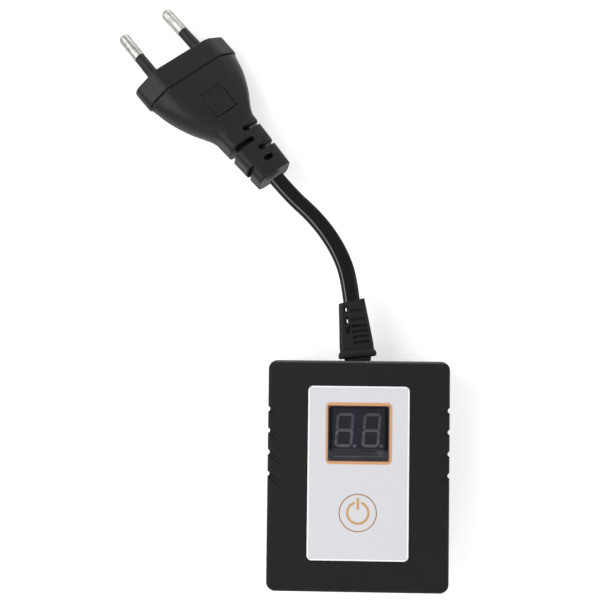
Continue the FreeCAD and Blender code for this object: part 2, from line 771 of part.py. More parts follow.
def board_screws():
    """Small pan-head screws: up into the front posts, and down into the rear ones."""
    up = []
    down = []
    for x, y in CONTROL_SCREWS:
        head = upright("Sizes.board_screw_head / 2", "Sizes.board_screw_head_height", x, y,
                       BOARD_UNDER + " - Sizes.board_screw_head_height")
        shank = upright("Sizes.board_screw / 2", "Sizes.board_screw_length", x, y, BOARD_UNDER)
        up.append(fuse([head, shank]))
    for x, y in POWER_SCREWS:
        head = upright("Sizes.board_screw_head / 2", "Sizes.board_screw_head_height", x, y, POWER_TOP)
        shank = upright("Sizes.board_screw / 2", "Sizes.power_screw_length", x, y,
                        POWER_TOP + " - Sizes.power_screw_length")
        down.append(fuse([head, shank]))
    keep(group(up), "control_board_screws")
    keep(group(down), "power_board_screws")


def above_power_board(edge):
    return not on_level(edge, sheet.evalExpression(POWER_TOP))


def is_vertical(edge):
    ends = [v.Point for v in edge.Vertexes]
    return len(ends) == 2 and abs(ends[0].z - ends[1].z) > 1e-4


def component(name, z):
    """A box-shaped component, seated on its board at its own place in the sheet."""
    return block("Sizes.%s_length" % name, "Sizes.%s_width" % name, "Sizes.%s_height" % name,
                 "Sizes.%s_x" % name, "Sizes.%s_y" % name, z)


def control_parts():
    keep(component("controller", BOARD_TOP), "microcontroller")
    keep(rounded(component("crystal", BOARD_TOP), "crystal_corner", is_vertical), "crystal")


def power_parts():
    keep(rounded(component("relay", POWER_TOP), "relay_edge", above_power_board), "relay")
    keep(rounded(component("film_capacitor", POWER_TOP), "film_capacitor_edge", above_power_board),
         "film_capacitor")
    can = upright("Sizes.can_diameter / 2", "Sizes.can_height", "Sizes.can_x", "Sizes.can_y", POWER_TOP)
    keep(rounded(can, "can_edge", lambda e: e.Closed), "electrolytic_capacitor")
    keep(component("rectifier", POWER_TOP), "bridge_rectifier")
    keep(upright("Sizes.fuse_diameter / 2", "Sizes.fuse_height", "Sizes.fuse_x", "Sizes.fuse_y", POWER_TOP),
         "fuse")


def varistor():
    """A coated disc standing on its edge, thickened at the foot."""
    disc = lying("Sizes.varistor_diameter / 2", "Sizes.varistor_thick", "Sizes.varistor_x",
                 "Sizes.varistor_y - Sizes.varistor_thick / 2", POWER_TOP + " + Sizes.varistor_diameter / 2")
    foot = block("Sizes.varistor_foot", "Sizes.varistor_thick / 2", "Sizes.varistor_diameter / 2",
                 "Sizes.varistor_x", "Sizes.varistor_y", POWER_TOP)
    return keep(fuse([disc, foot]), "varistor")


def resistors():
    """Three in a row, each on two bent legs."""
    axis = POWER_TOP + " + Sizes.resistor_diameter / 2 + Sizes.resistor_wire / 2"
    reach = "Sizes.resistor_length / 2 + Sizes.resistor_foot"
    row = []
    for i in (-1, 0, 1):
        x = "Sizes.resistor_x + %d * Sizes.resistor_pitch" % i
        body = lying("Sizes.resistor_diameter / 2", "Sizes.resistor_length", x,
                     "Sizes.resistor_y - Sizes.resistor_length / 2", axis)
        wire = lying("Sizes.resistor_wire / 2", "2 * (%s)" % reach, x,
                     "Sizes.resistor_y - (%s)" % reach, axis)
        legs = [block("Sizes.resistor_wire", "Sizes.resistor_wire", "%s - (%s)" % (axis, POWER_TOP), x,
                      "Sizes.resistor_y + %d * (%s)" % (end, reach), POWER_TOP) for end in (-1, 1)]
        row.append(fuse([body, wire] + legs))
    return keep(group(row), "resistors")


def board_link_header():
    """A pin strip that carries the control board's supply up from the power board."""
    strip = block("Sizes.link_pins * Sizes.link_pitch", "Sizes.link_base", "Sizes.link_base", "0",
                  "Sizes.link_y", POWER_TOP)
    pins = []
    for i in range(int(size("link_pins"))):
        x = "(%d - (Sizes.link_pins - 1) / 2) * Sizes.link_pitch" % i
        pins.append(block("Sizes.link_pin_size", "Sizes.link_pin_size",
                          "%s - (%s)" % (BOARD_UNDER, POWER_TOP), x, "Sizes.link_y", POWER_TOP))
    return keep(fuse([strip] + pins), "board_link_header")


# Output socket

CONTACT_Y = "-(Sizes.case_length / 2) + Sizes.socket_entry_depth"
LEAD_Z = "Sizes.rear_depth"


def socket_block():
    """The insulating block: its face fills the case end, its body is trapped behind
    the wall, and each round entry opens into a chamber for a sprung contact."""
    face = block("Sizes.socket_face_width", "Sizes.case_wall + 2 * Sizes.fit_gap",
                 "Sizes.socket_face_height", "0",
                 "-(Sizes.case_length / 2) + Sizes.case_wall / 2 + Sizes.fit_gap",
                 "Sizes.rear_depth - Sizes.socket_face_height / 2")
    body = block("Sizes.socket_body_width", "Sizes.socket_body_depth", "Sizes.socket_body_height", "0",
                 "%s + Sizes.socket_body_depth / 2" % SOCKET_INNER,
                 "Sizes.rear_depth - Sizes.socket_body_height / 2")
    tools = []
    for side in (-1, 1):
        x = "%d * Sizes.socket_spacing / 2" % side
        tools.append(lying("Sizes.socket_entry / 2", "2 * Sizes.socket_entry_depth", x,
                           CONTACT_Y + " - 2 * Sizes.socket_entry_depth", LEAD_Z))
        tools.append(lying("Sizes.contact_outer / 2 + Sizes.fit_gap", "Sizes.contact_length", x, CONTACT_Y,
                           LEAD_Z))
        tools.append(lying("Sizes.lead_diameter / 2 + Sizes.fit_gap", "Sizes.socket_body_depth", x,
                           CONTACT_Y, LEAD_Z))
    return keep(cut(fuse([face, body]), tools), "socket_block")


def socket_contact(side, node):
    """A brass sleeve, slit along both sides so that it grips the pin."""
    x = "%d * Sizes.socket_spacing / 2" % side
    tube = lying("Sizes.contact_outer / 2", "Sizes.contact_length", x, CONTACT_Y, LEAD_Z)
    bore = lying("Sizes.contact_inner / 2", "Sizes.contact_length", x,
                 CONTACT_Y + " - Sizes.contact_end_wall", LEAD_Z)
    slit = block("Sizes.contact_slit", "Sizes.contact_length", "2 * Sizes.contact_outer", x,
                 CONTACT_Y + " + Sizes.contact_length / 2 - Sizes.contact_root",
                 "%s - Sizes.contact_outer" % LEAD_Z)
    return keep(cut(tube, [bore, slit]), node)


def bent_wire(start, level_end, foot, radius, wire):
    """A lead that runs level, turns down in one bend and ends on the board."""
    way = (level_end - start).normalize()
    before = level_end - way * radius
    after = level_end - Vector(0, 0, radius)
    middle = level_end - way * radius * (1 - math.sqrt(0.5)) - Vector(0, 0, radius * (1 - math.sqrt(0.5)))
    path = Part.Wire([Part.makeLine(start, before), Part.Arc(before, middle, after).toShape(),
                      Part.makeLine(after, foot)])
    profile = Part.Wire(Part.makeCircle(wire / 2, start, way))
    return path.makePipeShell([profile], True, False)


def inner_leads():
    """Two leads from the cord to the power board, and two from there to the contacts."""
    z = size("rear_depth")
    foot_z = sheet.evalExpression(POWER_TOP)
    radius = size("lead_bend")
    wire = size("lead_diameter")
    supply_start = size("case_length") / 2 - size("case_wall") - size("grommet_lock_length")
    contact_end = -size("case_length") / 2 + size("socket_entry_depth") + size("contact_length")
    for side, name in ((-1, "live"), (1, "neutral")):
        x = side * size("core_spacing") / 2 + size("grommet_offset")
        y = size("supply_lead_y")
        lead = doc.addObject("Part::Feature", "SupplyLead")
        corner = Vector(x, y, z)
        lead.Shape = bent_wire(Vector(x, supply_start, z), corner, Vector(x, y, foot_z), radius, wire)
        keep(lead, "supply_lead_" + name)
        x = side * size("socket_spacing") / 2
        y = size("socket_lead_y")
        lead = doc.addObject("Part::Feature", "SocketLead")
        corner = Vector(x, y, z)
        lead.Shape = bent_wire(Vector(x, contact_end, z), corner, Vector(x, y, foot_z), radius, wire)
        keep(lead, "socket_lead_" + name)


# Cord grommet: distances run along its bent axis from the case end

GROMMET_SLOTS = (6.1, 7.9, 9.7, 11.4, 13.6, 16.4)
GROMMET_HOLES = (10.2, 13.4, 17.2)


def rounded_section(width, height, corner):
    """A rectangle with round corners in the XZ plane, centred on the origin."""
    a = width / 2
    b = height / 2
    r = corner
    k = r * (1 - math.sqrt(0.5))
    corners = [((a - r, -b), (a - k, k - b), (a, r - b)), ((a, b - r), (a - k, b - k), (a - r, b)),
               ((r - a, b), (k - a, b - k), (-a, b - r)), ((-a, r - b), (k - a, k - b), (r - a, -b))]
    edges = []
    for i, (start, middle, end) in enumerate(corners):
        points = [Vector(x, 0, z) for x, z in (start, middle, end)]
        edges.append(Part.Arc(*points).toShape())
        following = corners[(i + 1) % 4][0]
        edges.append(Part.makeLine(points[2], Vector(following[0], 0, following[1])))
    return Part.Wire(edges)


def grommet_place(distance):
    """Where the grommet's bent axis is, and which way it points, past the case end."""
    steps = 40
    centre = Vector(size("grommet_offset"), size("case_length") / 2, size("rear_depth"))
    way = grommet_way(0)
    if distance <= 0:
        return Placement(centre + way * distance, grommet_turn(0))
    for i in range(steps):
        centre = centre + grommet_way((i + 0.5) / steps * distance) * (distance / steps)
    return Placement(centre, grommet_turn(distance))


def grommet_angles(distance):
    share = distance / size("grommet_length")
    lean = size("grommet_lean_start") + (size("grommet_lean_end") - size("grommet_lean_start")) * share
    return lean * min(1, distance / size("grommet_lean_reach")), size("grommet_rise_end") * share


def grommet_turn(distance):
    lean, rise = grommet_angles(distance)
    return Rotation(Vector(0, 0, 1), lean) * Rotation(Vector(1, 0, 0), rise)


def grommet_way(distance):
    return grommet_turn(distance).multVec(Vector(0, 1, 0))


def grommet_piece(stations):
    """A loft through sections at (distance, width, height, corner)."""
    wires = []
    for distance, width, height, corner in stations:
        wire = rounded_section(width, height, corner)
        wire.Placement = grommet_place(distance)
        wires.append(wire)
    return Part.makeLoft(wires, True, True)


def grommet_cutter(distance, low_x, high_x, length, low_z, high_z):
    tool = Part.makeBox(high_x - low_x, length, high_z - low_z, Vector(low_x, -length / 2, low_z))
    tool.Placement = grommet_place(distance)
    return tool


def grommet_hole(distance, x, width, length, low_z, high_z):
    """An oval hole across the grommet."""
    reach = (length - width) / 2
    ends = [Part.makeCylinder(width / 2, high_z - low_z, Vector(x, side * reach, low_z)) for side in (-1, 1)]
    middle = Part.makeBox(width, 2 * reach, high_z - low_z, Vector(x - width / 2, -reach, low_z))
    tool = middle.multiFuse(ends)
    tool.Placement = grommet_place(distance)
    return tool


def cord_grommet():
    """A moulded strain relief: a lock inside the wall, a neck, a flange, and a tapered
    tail slotted from one side so that it bends with the cord."""
    neck_end = size("grommet_neck_length")
    flange_end = neck_end + size("grommet_flange_length")
    collar_end = flange_end + size("grommet_collar")
    end = size("grommet_length")
    wall_in = -size("case_wall")
    lock_end = wall_in - size("grommet_lock_length")
    base = (size("grommet_base_width"), size("grommet_base_height"))
    tip = (size("grommet_end_width"), size("grommet_end_height"))

    def tail(distance):
        share = max(0, distance - collar_end) / (end - collar_end)
        return [b + (t - b) * share for b, t in zip(base, tip)]

    straight = Vector(size("grommet_offset"), size("case_length") / 2, size("rear_depth"))
    edge = size("grommet_edge")
    inner = []
    for low, high, width, height in (
            (lock_end, wall_in, size("grommet_lock_width"), size("grommet_lock_height")),
            (wall_in, (neck_end + flange_end) / 2, size("grommet_neck_width"), size("grommet_neck_height"))):
        wire = rounded_section(width, height, edge)
        wire.translate(straight + Vector(0, low, 0))
        inner.append(Part.Face(wire).extrude(Vector(0, high - low, 0)))
    flange = grommet_piece([(distance, size("grommet_flange_width"), size("grommet_flange_height"), edge)
                            for distance in (neck_end, flange_end)])
    stations = [flange_end, collar_end] + [collar_end + (end - collar_end) * i / 4 for i in (1, 2, 3, 4)]
    body = grommet_piece([(s, *tail(s), edge) for s in stations])
    whole = inner[0].multiFuse([inner[1], flange, body])
    feature = doc.addObject("Part::Feature", "Grommet")
    feature.Shape = whole.removeSplitter().cut(grommet_openings())
    return keep(feature, "cord_grommet")


def grommet_openings():
    """Slots from the right side down to the wall round the cord, and oval holes
    through the solid left side."""
    core_x = size("cord_width") / 2 + size("grommet_core_wall")
    core_z = size("cord_thick") / 2 + size("grommet_core_wall")
    slot = size("grommet_slot")
    far = size("grommet_base_width")
    tools = []
    for distance in GROMMET_SLOTS:
        for low_z, high_z in ((core_z, far), (-far, -core_z)):
            tools.append(grommet_cutter(distance, size("grommet_slot_left"), far, slot, low_z, high_z))
        tools.append(grommet_cutter(distance, core_x, far, slot, -far, far))
    for distance in GROMMET_HOLES:
        tools.append(grommet_hole(distance, size("grommet_hole_x"), size("grommet_hole_width"),
                                  size("grommet_hole_length"), -far, far))
    return tools


# Plug, in its own frame: +Y along the pins, +Z out of the broad face, origin on the
# middle of its front face. The body's waist is drawn in by steps: each has its place
# from groove to strain relief, and how much narrower and thinner than the flange it is.

WAIST = [(0, 0.6, 0.4), (0.28, 4.6, 0.7), (0.56, 10.6, 1.3), (0.8, 17.2, 2.6), (0.93, 20.7, 3.4)]


def plug_corner():
    """How far the lower corner of the flange lies under the plug's axis."""
    roll = math.radians(size("plug_roll"))
    corner_x = size("flange_width") / 2 - size("flange_chamfer_width")
    return size("flange_thick") / 2 * math.cos(roll) + corner_x * math.sin(roll)


def plug_place():
    """Rest the plug on one corner of its flange, its pins tilted slightly down."""
    tilt = math.radians(size("plug_tilt"))
    heading = math.radians(size("plug_heading"))
    roll = math.radians(size("plug_roll"))
    forward = Vector(-math.sin(heading) * math.cos(tilt), math.cos(heading) * math.cos(tilt),
                     -math.sin(tilt))
    level = Vector(math.cos(heading), math.sin(heading), 0)
    above = level.cross(forward)
    right = level * math.cos(roll) - above * math.sin(roll)
    normal = right.cross(forward)
    front_z = plug_corner() * math.cos(tilt) + size("rest_gap")
    end = Vector(size("plug_end_x"), size("plug_end_y"), front_z + size("plug_length") * math.sin(tilt))
    front = end + forward * size("plug_length")
    return Placement(front, Rotation(right, forward, normal, "YXZ"))


def octagon(width, thick, chamfer_x, chamfer_z, y):
    a = width / 2
    b = thick / 2
    points = [(a - chamfer_x, -b), (a, chamfer_z - b), (a, b - chamfer_z), (a - chamfer_x, b),
              (chamfer_x - a, b), (-a, b - chamfer_z), (-a, chamfer_z - b), (chamfer_x - a, -b)]
    corners = [Vector(x, y, z) for x, z in points]
    return Part.makePolygon(corners + corners[:1])


def crowned(width, thick, corner_x, corner_z, crown, y):
    """A section with gently arched broad faces, slanting shoulders and flat sides."""
    a = width / 2
    b = thick / 2
    top = b - crown
    side = top - corner_z
    bulge = size("shoulder_bulge")
    edges = []
    for sign in (1, -1):
        start = Vector(sign * (a - corner_x), y, sign * top)
        end = Vector(sign * (corner_x - a), y, sign * top)
        low = Vector(sign * -a, y, sign * side)
        foot = Vector(sign * -a, y, -sign * side)
        following = Vector(sign * (corner_x - a), y, -sign * top)
        bow = (end + low) * 0.5 + Vector(-sign * corner_z, 0, sign * corner_x) * bulge
        under = (foot + following) * 0.5 + Vector(-sign * corner_z, 0, -sign * corner_x) * bulge
        edges.append(Part.Arc(start, Vector(0, y, sign * b), end).toShape())
        edges.append(Part.Arc(end, bow, low).toShape())
        edges.append(Part.makeLine(low, foot))
        edges.append(Part.Arc(foot, under, following).toShape())
    return Part.Wire(edges)


def relief_size(distance):
    start = size("relief_start")
    share = (distance - start) / (size("plug_length") - start)
    width = size("relief_width") + (size("relief_end_width") - size("relief_width")) * share
    thick = size("relief_thick") + (size("relief_end_thick") - size("relief_thick")) * share
    return width, thick


def relief_section(distance):
    width, thick = relief_size(distance)
    return crowned(width, thick, size("relief_corner_width"), size("relief_corner_height"),
                   size("body_crown"), -distance)


def plug_shell():
    """The moulding's outside: hexagonal flange, waisted body and strain relief."""
    width = size("flange_width")
    thick = size("flange_thick")
    shoulder_x = size("flange_chamfer_width")
    shoulder_z = size("flange_chamfer_height")
    flange_end = size("flange_depth")
    groove_end = flange_end + size("groove_width")
    sunk = 2 * size("groove_depth")
    flange = Part.Face(octagon(width, thick, shoulder_x, shoulder_z, 0)).extrude(Vector(0, -flange_end, 0))
    inner = Part.Face(octagon(width - sunk, thick - sunk, shoulder_x, shoulder_z, -flange_end / 2))
    groove = inner.extrude(Vector(0, -groove_end, 0))
    start = size("relief_start")
    wires = []
    for share, narrower, thinner in WAIST:
        wires.append(crowned(width - narrower, thick - thinner,
                             shoulder_x * (1 - size("shoulder_narrowing") * share),
                             shoulder_z * (1 - size("shoulder_thinning") * share),
                             size("body_crown"), -groove_end - (start - groove_end) * share))
    body = Part.makeLoft(wires + [relief_section(start)], True, False)
    tail = Part.makeLoft([relief_section(start), relief_section(size("plug_length"))], True, True)
    return flange.multiFuse([groove, body, tail])


def relief_cutters():
    """Slots across the strain relief, by turns from the right and from the left, down
    to the wall round the cord, and one closed slot in each broad face at the end."""
    core_x = size("cord_width") / 2 + size("relief_core_wall")
    core_z = size("cord_thick") / 2 + size("relief_core_wall")
    slot = size("relief_slot")
    far = size("relief_width")
    right = size("relief_slot_right")
    left = size("relief_slot_left")
    tools = []
    for i, (low_x, high_x) in enumerate(((right, far), (-far, left), (right, far), (-left / 2, 2 * left))):
        y = -size("relief_slot_first") - i * size("relief_slot_pitch") - slot / 2
        for low_z in (core_z, -far):
            tools.append(Part.makeBox(high_x - low_x, slot, far - core_z, Vector(low_x, y, low_z)))
        if high_x == far:
            tools.append(Part.makeBox(far - core_x, slot, 2 * far, Vector(core_x, y, -far)))
        if low_x == -far:
            tools.append(Part.makeBox(far - core_x, slot, 2 * far, Vector(-far, y, -far)))
    return tools


def mark_cutter():
    """The shallow bare recess in the broad face."""
    tool = Part.makeBox(size("mark_width"), size("mark_length"), size("flange_thick"),
                        Vector(-size("mark_width") / 2, -size("mark_length") / 2, -size("mark_depth")))
    surface = size("flange_thick") / 2 - size("mark_level")
    slope = Rotation(Vector(1, 0, 0), size("mark_slope"))
    tool.Placement = Placement(Vector(0, -size("mark_centre"), surface), slope)
    return tool


def bridge_box():
    """The hard insert inside the moulding that holds both pins."""
    return Part.makeBox(size("bridge_width"), size("bridge_depth"), size("bridge_thick"),
                        Vector(-size("bridge_width") / 2, -size("bridge_start") - size("bridge_depth"),
                               -size("bridge_thick") / 2))


def pin_place(side):
    """A pin leans inwards from its base to its tip."""
    lean = math.degrees(math.atan2((size("pin_spacing") - size("pin_tip_spacing")) / 2, size("pin_length")))
    return Placement(Vector(side * size("pin_spacing") / 2, 0, 0), Rotation(Vector(0, 0, 1), side * lean))


def along_pin(radius, low, high):
    return Part.makeCylinder(radius, high - low, Vector(0, low, 0), Vector(0, 1, 0))


def placed(shape, place):
    shape.Placement = place.multiply(shape.Placement)
    return shape


def pin_shape():
    """Full diameter at the tip, thinner under the sleeve, with a tail in the moulding."""
    length = size("pin_length")
    tip = along_pin(size("pin_diameter") / 2, length - size("pin_metal"), length)
    edge = [e for e in tip.Edges if e.Closed and abs(e.CenterOfMass.y - length) < 1e-4]
    tip = tip.makeFillet(size("pin_tip_round"), edge)
    core = along_pin(size("pin_core") / 2, -size("pin_tail"),
                     length - size("pin_metal") + size("pin_overlap"))
    return tip.fuse(core)


def sleeve_outside():
    """The sleeve's outside, a little narrower where it leaves the flange."""
    radius = size("sleeve_diameter") / 2
    root = size("sleeve_root")
    foot = Part.makeCone(radius - root, radius, root, Vector(), Vector(0, 1, 0))
    return foot.fuse(along_pin(radius, root, size("pin_length") - size("pin_metal")))


def sleeve_shape():
    """The insulating sleeve round the pin's thinner half."""
    return sleeve_outside().cut(along_pin(size("pin_core") / 2, -size("pin_tail"), size("pin_length")))


def plug_pieces():
    where = plug_place()
    hollow = [bridge_box()]
    for side in (-1, 1):
        hollow.append(placed(sleeve_outside(), pin_place(side)))
        hollow.append(placed(along_pin(size("pin_core") / 2, -size("pin_tail"), 0), pin_place(side)))
    moulding = plug_shell().cut(relief_cutters() + [mark_cutter()]).removeSplitter().cut(hollow)
    inside = bridge_box().cut(hollow[1:])
    pieces = [("plug_body", moulding), ("plug_bridge", inside)]
    for side, hand in ((-1, "left"), (1, "right")):
        pieces.append(("plug_pin_" + hand, placed(pin_shape(), pin_place(side))))
        pieces.append(("pin_sleeve_" + hand, placed(sleeve_shape(), pin_place(side))))
    for node, shape in pieces:
        feature = doc.addObject("Part::Feature", "PlugPiece")
        feature.Shape = placed(shape, where)
        keep(feature, node)


# Cord: the middle points are chosen by hand; the ends follow the grommet and the plug

CORD_MIDDLE = [
    Vector(-6.5, 70.45, 15.8),
    Vector(-10.8, 77.5, 15.1),
    Vector(-16.2, 83.85, 14.05),
]
CORD_FIRST_RUN = 7.5
CORD_LAST_RUN = 8.1


def cord_route():
    start = grommet_place(size("grommet_length"))
    plug = plug_place()
    forward = plug.Rotation.multVec(Vector(0, 1, 0))
    end = plug.multVec(Vector(0, -size("plug_length"), 0))
    way = start.Rotation.multVec(Vector(0, 1, 0))
    return ([start.Base, start.Base + way * CORD_FIRST_RUN] + CORD_MIDDLE
            + [end - forward * CORD_LAST_RUN, end])


def tangent_path(points):
    """Straight runs joined by arcs, each as large as its two runs allow."""
    edges = []
    here = points[0]
    for before, corner, after in zip(points, points[1:], points[2:]):
        back = (before - corner)
        on = (after - corner)
        run = min(back.Length, on.Length)
        back.normalize()
        on.normalize()
        half_turn = (math.pi - back.getAngle(on)) / 2
        reach = 0.45 * run
        radius = reach / math.tan(half_turn)
        print("cord arc radius %.1f mm, turn %.1f degrees, run %.1f mm"
              % (radius, math.degrees(2 * half_turn), run))
        first = corner + back * reach
        last = corner + on * reach
        inward = (back + on).normalize()
        middle = corner + inward * (radius / math.cos(half_turn) - radius)
        edges.append(Part.makeLine(here, first))
        edges.append(Part.Arc(first, middle, last).toShape())
        here = last
    edges.append(Part.makeLine(here, points[-1]))
    return Part.Wire(edges)


def power_cord():
    """Flat two-core cord, swept with its broad face up."""
    points = cord_route()
    path = tangent_path(points)
    thick = size("cord_thick")
    profile = rounded_section(size("cord_width"), thick, thick * 0.46)
    profile.Placement = grommet_place(size("grommet_length"))
    solid = path.makePipeShell([profile], True, False)
    expected = Part.Face(profile).Area * path.Length
    print("cord length %.1f mm, volume %.1f against %.1f mm3" % (path.Length, solid.Volume, expected))
    for point in points:
        print("cord point %.2f %.2f %.2f" % tuple(point))
    feature = doc.addObject("Part::Feature", "Cord")
    feature.Shape = solid
    return keep(feature, "power_cord")


def write_parts():
    doc.recompute()
    for item in doc.Objects:
        if "Invalid" in item.State or "Error" in item.State:
            raise RuntimeError("%s (%s) failed" % (item.Label, item.Name))
    os.makedirs("parts", exist_ok=True)
    for node, item in kept:
        shape = item.Shape
        if shape.isNull() or not shape.isValid() or not shape.Solids:
            raise RuntimeError("%s has no valid solid" % node)
        shape.exportStep("parts/%s.step" % node)
    print("%d nodes" % len(kept))


front_shell()
rear_shell()
case_screws()
overlay_panel()
display_lens()
display_module(display_segments())
display_pins()
power_key_cap()
tact_switch()
control_board()
power_board()
board_screws()
control_parts()
power_parts()
varistor()
resistors()
board_link_header()
socket_block()
socket_contact(-1, "socket_contact_left")
socket_contact(1, "socket_contact_right")
inner_leads()
cord_grommet()
plug_pieces()
power_cord()
write_parts()
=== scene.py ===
"""Looks of a two-digit aquarium light timer with one key, a short flat cord and a moulded
two-pin plug. Metres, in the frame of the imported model: it lies on its back, display up."""
import math

import bmesh
import bpy
from mathutils import Matrix, Vector


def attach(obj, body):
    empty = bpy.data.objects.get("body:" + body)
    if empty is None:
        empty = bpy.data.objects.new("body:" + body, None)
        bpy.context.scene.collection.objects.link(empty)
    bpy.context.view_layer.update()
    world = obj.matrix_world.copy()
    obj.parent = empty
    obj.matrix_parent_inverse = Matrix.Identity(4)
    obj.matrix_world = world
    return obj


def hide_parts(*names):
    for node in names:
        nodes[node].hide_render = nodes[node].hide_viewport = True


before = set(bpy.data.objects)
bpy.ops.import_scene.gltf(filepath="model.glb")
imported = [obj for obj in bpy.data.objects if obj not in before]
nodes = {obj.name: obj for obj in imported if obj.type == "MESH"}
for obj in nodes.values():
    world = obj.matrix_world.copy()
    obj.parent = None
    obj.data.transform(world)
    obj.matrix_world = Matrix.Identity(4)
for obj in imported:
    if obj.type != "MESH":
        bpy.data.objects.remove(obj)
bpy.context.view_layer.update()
MM = 0.001


# Studio: a white sweep under four soft boxes. The camera looks almost straight down at the
# display, as the photograph does, from a third of a metre above the table.

class Wire:
    """One output of a shader node. Sums and products of wires and numbers add Math nodes."""

    def __init__(self, socket):
        self.socket = socket

    def add(self, kind, settings=None, values=None, out=0):
        """A new node beside this one: settings first, then its sockets; gives one output."""
        tree = self.socket.id_data
        made = tree.nodes.new(kind)
        for name, value in (settings or {}).items():
            setattr(made, name, value)
        for name, value in (values or {}).items():
            if isinstance(value, Wire):
                tree.links.new(value.socket, made.inputs[name])
            else:
                made.inputs[name].default_value = value
        return Wire(made.outputs[out])

    def maths(self, operation, *values, clamp=False):
        return self.add("ShaderNodeMath", {"operation": operation, "use_clamp": clamp},
                        dict(enumerate(values)))

    def __add__(self, other):
        return self.maths("ADD", self, other)

    def __sub__(self, other):
        return self.maths("SUBTRACT", self, other)

    def __rsub__(self, other):
        return self.maths("SUBTRACT", other, self)

    def __mul__(self, other):
        return self.maths("MULTIPLY", self, other)

    def __pow__(self, other):
        return self.maths("POWER", self, other)

    def __abs__(self):
        return self.maths("ABSOLUTE", self)

    def __gt__(self, other):
        return self.maths("GREATER_THAN", self, other)

    __radd__ = __add__
    __rmul__ = __mul__

    def most(self, other):
        return self.maths("MAXIMUM", self, other)

    def least(self, other):
        return self.maths("MINIMUM", self, other)

    def inside(self, soft):
        """1 where this distance is below zero, 0 where it is above, with a soft edge."""
        return self.maths("MULTIPLY_ADD", self, -1 / soft, 0.5, clamp=True)

    def blend(self, low, high):
        """A colour that goes from low to high with this wire."""
        ends = {6: low if isinstance(low, Wire) else (*low, 1),
                7: high if isinstance(high, Wire) else (*high, 1)}
        return self.add("ShaderNodeMix", {"data_type": "RGBA"}, {0: self, **ends}, out=2)

    def parts(self):
        return [self.add("ShaderNodeSeparateXYZ", None, {0: self}, out) for out in range(3)]

    def noise(self, size, detail=2.0, stretch=None):
        """Soft noise whose grains are about this size, in metres."""
        where = self
        if stretch:
            where = self.add("ShaderNodeVectorMath", {"operation": "MULTIPLY"}, {0: self, 1: stretch})
        return where.add("ShaderNodeTexNoise", None,
                         {"Vector": where, "Scale": 1 / size, "Detail": detail}, out="Fac")

    def seen_along(self, axes):
        """This place measured along three other axes."""
        turned_place = {}
        for i in range(3):
            turned_place[i] = self.add("ShaderNodeVectorMath", {"operation": "DOT_PRODUCT"},
                                       {0: self, 1: axes.col[i].to_3d()}, out="Value")
        return self.add("ShaderNodeCombineXYZ", None, turned_place)

    def bump(self, depth):
        """A normal from this height, which spans the given depth in metres."""
        return self.add("ShaderNodeBump", None,
                        {"Height": self, "Distance": depth, "Strength": 1.0}, out="Normal")

    def into(self, shader, name):
        self.socket.id_data.links.new(self.socket, shader.inputs[name])


def seen_directly(tree):
    """1 for rays from the camera, or by way of a reflection or glass."""
    path = tree.nodes.new("ShaderNodeLightPath")
    seen = Wire(path.outputs["Is Camera Ray"])
    for name in ("Is Glossy Ray", "Is Transmission Ray"):
        seen = seen.most(Wire(path.outputs[name]))
    return seen


def finish(name, colour, roughness, **constants):
    """A material with one shader. Gives it, its shader, and each point's place on the part."""
    material = bpy.data.materials.new(name)
    material.use_nodes = True
    tree = material.node_tree
    shader = tree.nodes["Principled BSDF"]
    shader.inputs["Base Color"].default_value = (*colour, 1)
    shader.inputs["Roughness"].default_value = roughness
    for key, value in constants.items():
        shader.inputs[key.replace("_", " ").title().replace("Ior", "IOR")].default_value = value
    return material, shader, Wire(tree.nodes.new("ShaderNodeTexCoord").outputs["Object"])


def link(piece):
    bpy.context.scene.collection.objects.link(piece)
    return piece


# The floor glows to plain white far from the object and half as much beside it, under its shadow
floor_finish, shader, place = finish("studio_floor", (0.8, 0.8, 0.8), 0.9, emission_strength=1.0)
x, y = place.parts()[:2]
near = ((x * x + y * y) ** 0.5 - 0.8).inside(0.6)
glow = near.blend((1, 1, 1), (0.5, 0.5, 0.5))
seen_directly(floor_finish.node_tree).blend((0, 0, 0), glow).into(shader, "Emission Color")
place.noise(0.4).blend((0.79, 0.79, 0.79), (0.81, 0.81, 0.81)).into(shader, "Base Color")
sheet = bpy.data.meshes.new("floor")
sheet.from_pydata([(x, y, 0) for x, y in ((-4, -4), (4, -4), (4, 4), (-4, 4))], [], [(0, 1, 2, 3)])
sheet.materials.append(floor_finish)
floor = link(bpy.data.objects.new("floor", sheet))

world = bpy.data.worlds.new("studio")
world.use_nodes = True
backdrop = world.node_tree.nodes["Background"]
height = Wire(world.node_tree.nodes.new("ShaderNodeTexCoord").outputs["Generated"]).parts()[2]
air = (height.most(0) ** 0.7).blend((0.50, 0.50, 0.51), (0.22, 0.22, 0.23))
seen_directly(world.node_tree).blend(air, (1, 1, 1)).into(backdrop, "Color")
bpy.context.scene.world = world
bpy.context.scene.view_settings.view_transform = "Standard"

TABLE_MIDDLE = Vector((-0.01, 0.05, 0))


def soft_box(name, stand, width, length, power):
    """A rectangular lamp that looks at the middle of the table and isn't seen itself."""
    lamp = bpy.data.lights.new(name, "AREA")
    lamp.shape = "RECTANGLE"
    lamp.size = width
    lamp.size_y = length
    lamp.energy = power
    holder = link(bpy.data.objects.new(name, lamp))
    holder.location = stand
    holder.rotation_euler = (TABLE_MIDDLE - Vector(stand)).to_track_quat("-Z", "Y").to_euler()
    holder.visible_camera = False


soft_box("left_box", stand=(-0.45, 0.10, 0.60), width=0.55, length=0.55, power=3.6)
soft_box("right_box", stand=(0.70, 0.00, 0.55), width=0.70, length=0.80, power=2.2)
soft_box("far_box", stand=(0.0, 0.95, 0.24), width=0.90, length=0.12, power=1.8)
soft_box("near_box", stand=(0.0, -0.66, 0.46), width=0.80, length=0.50, power=2.4)

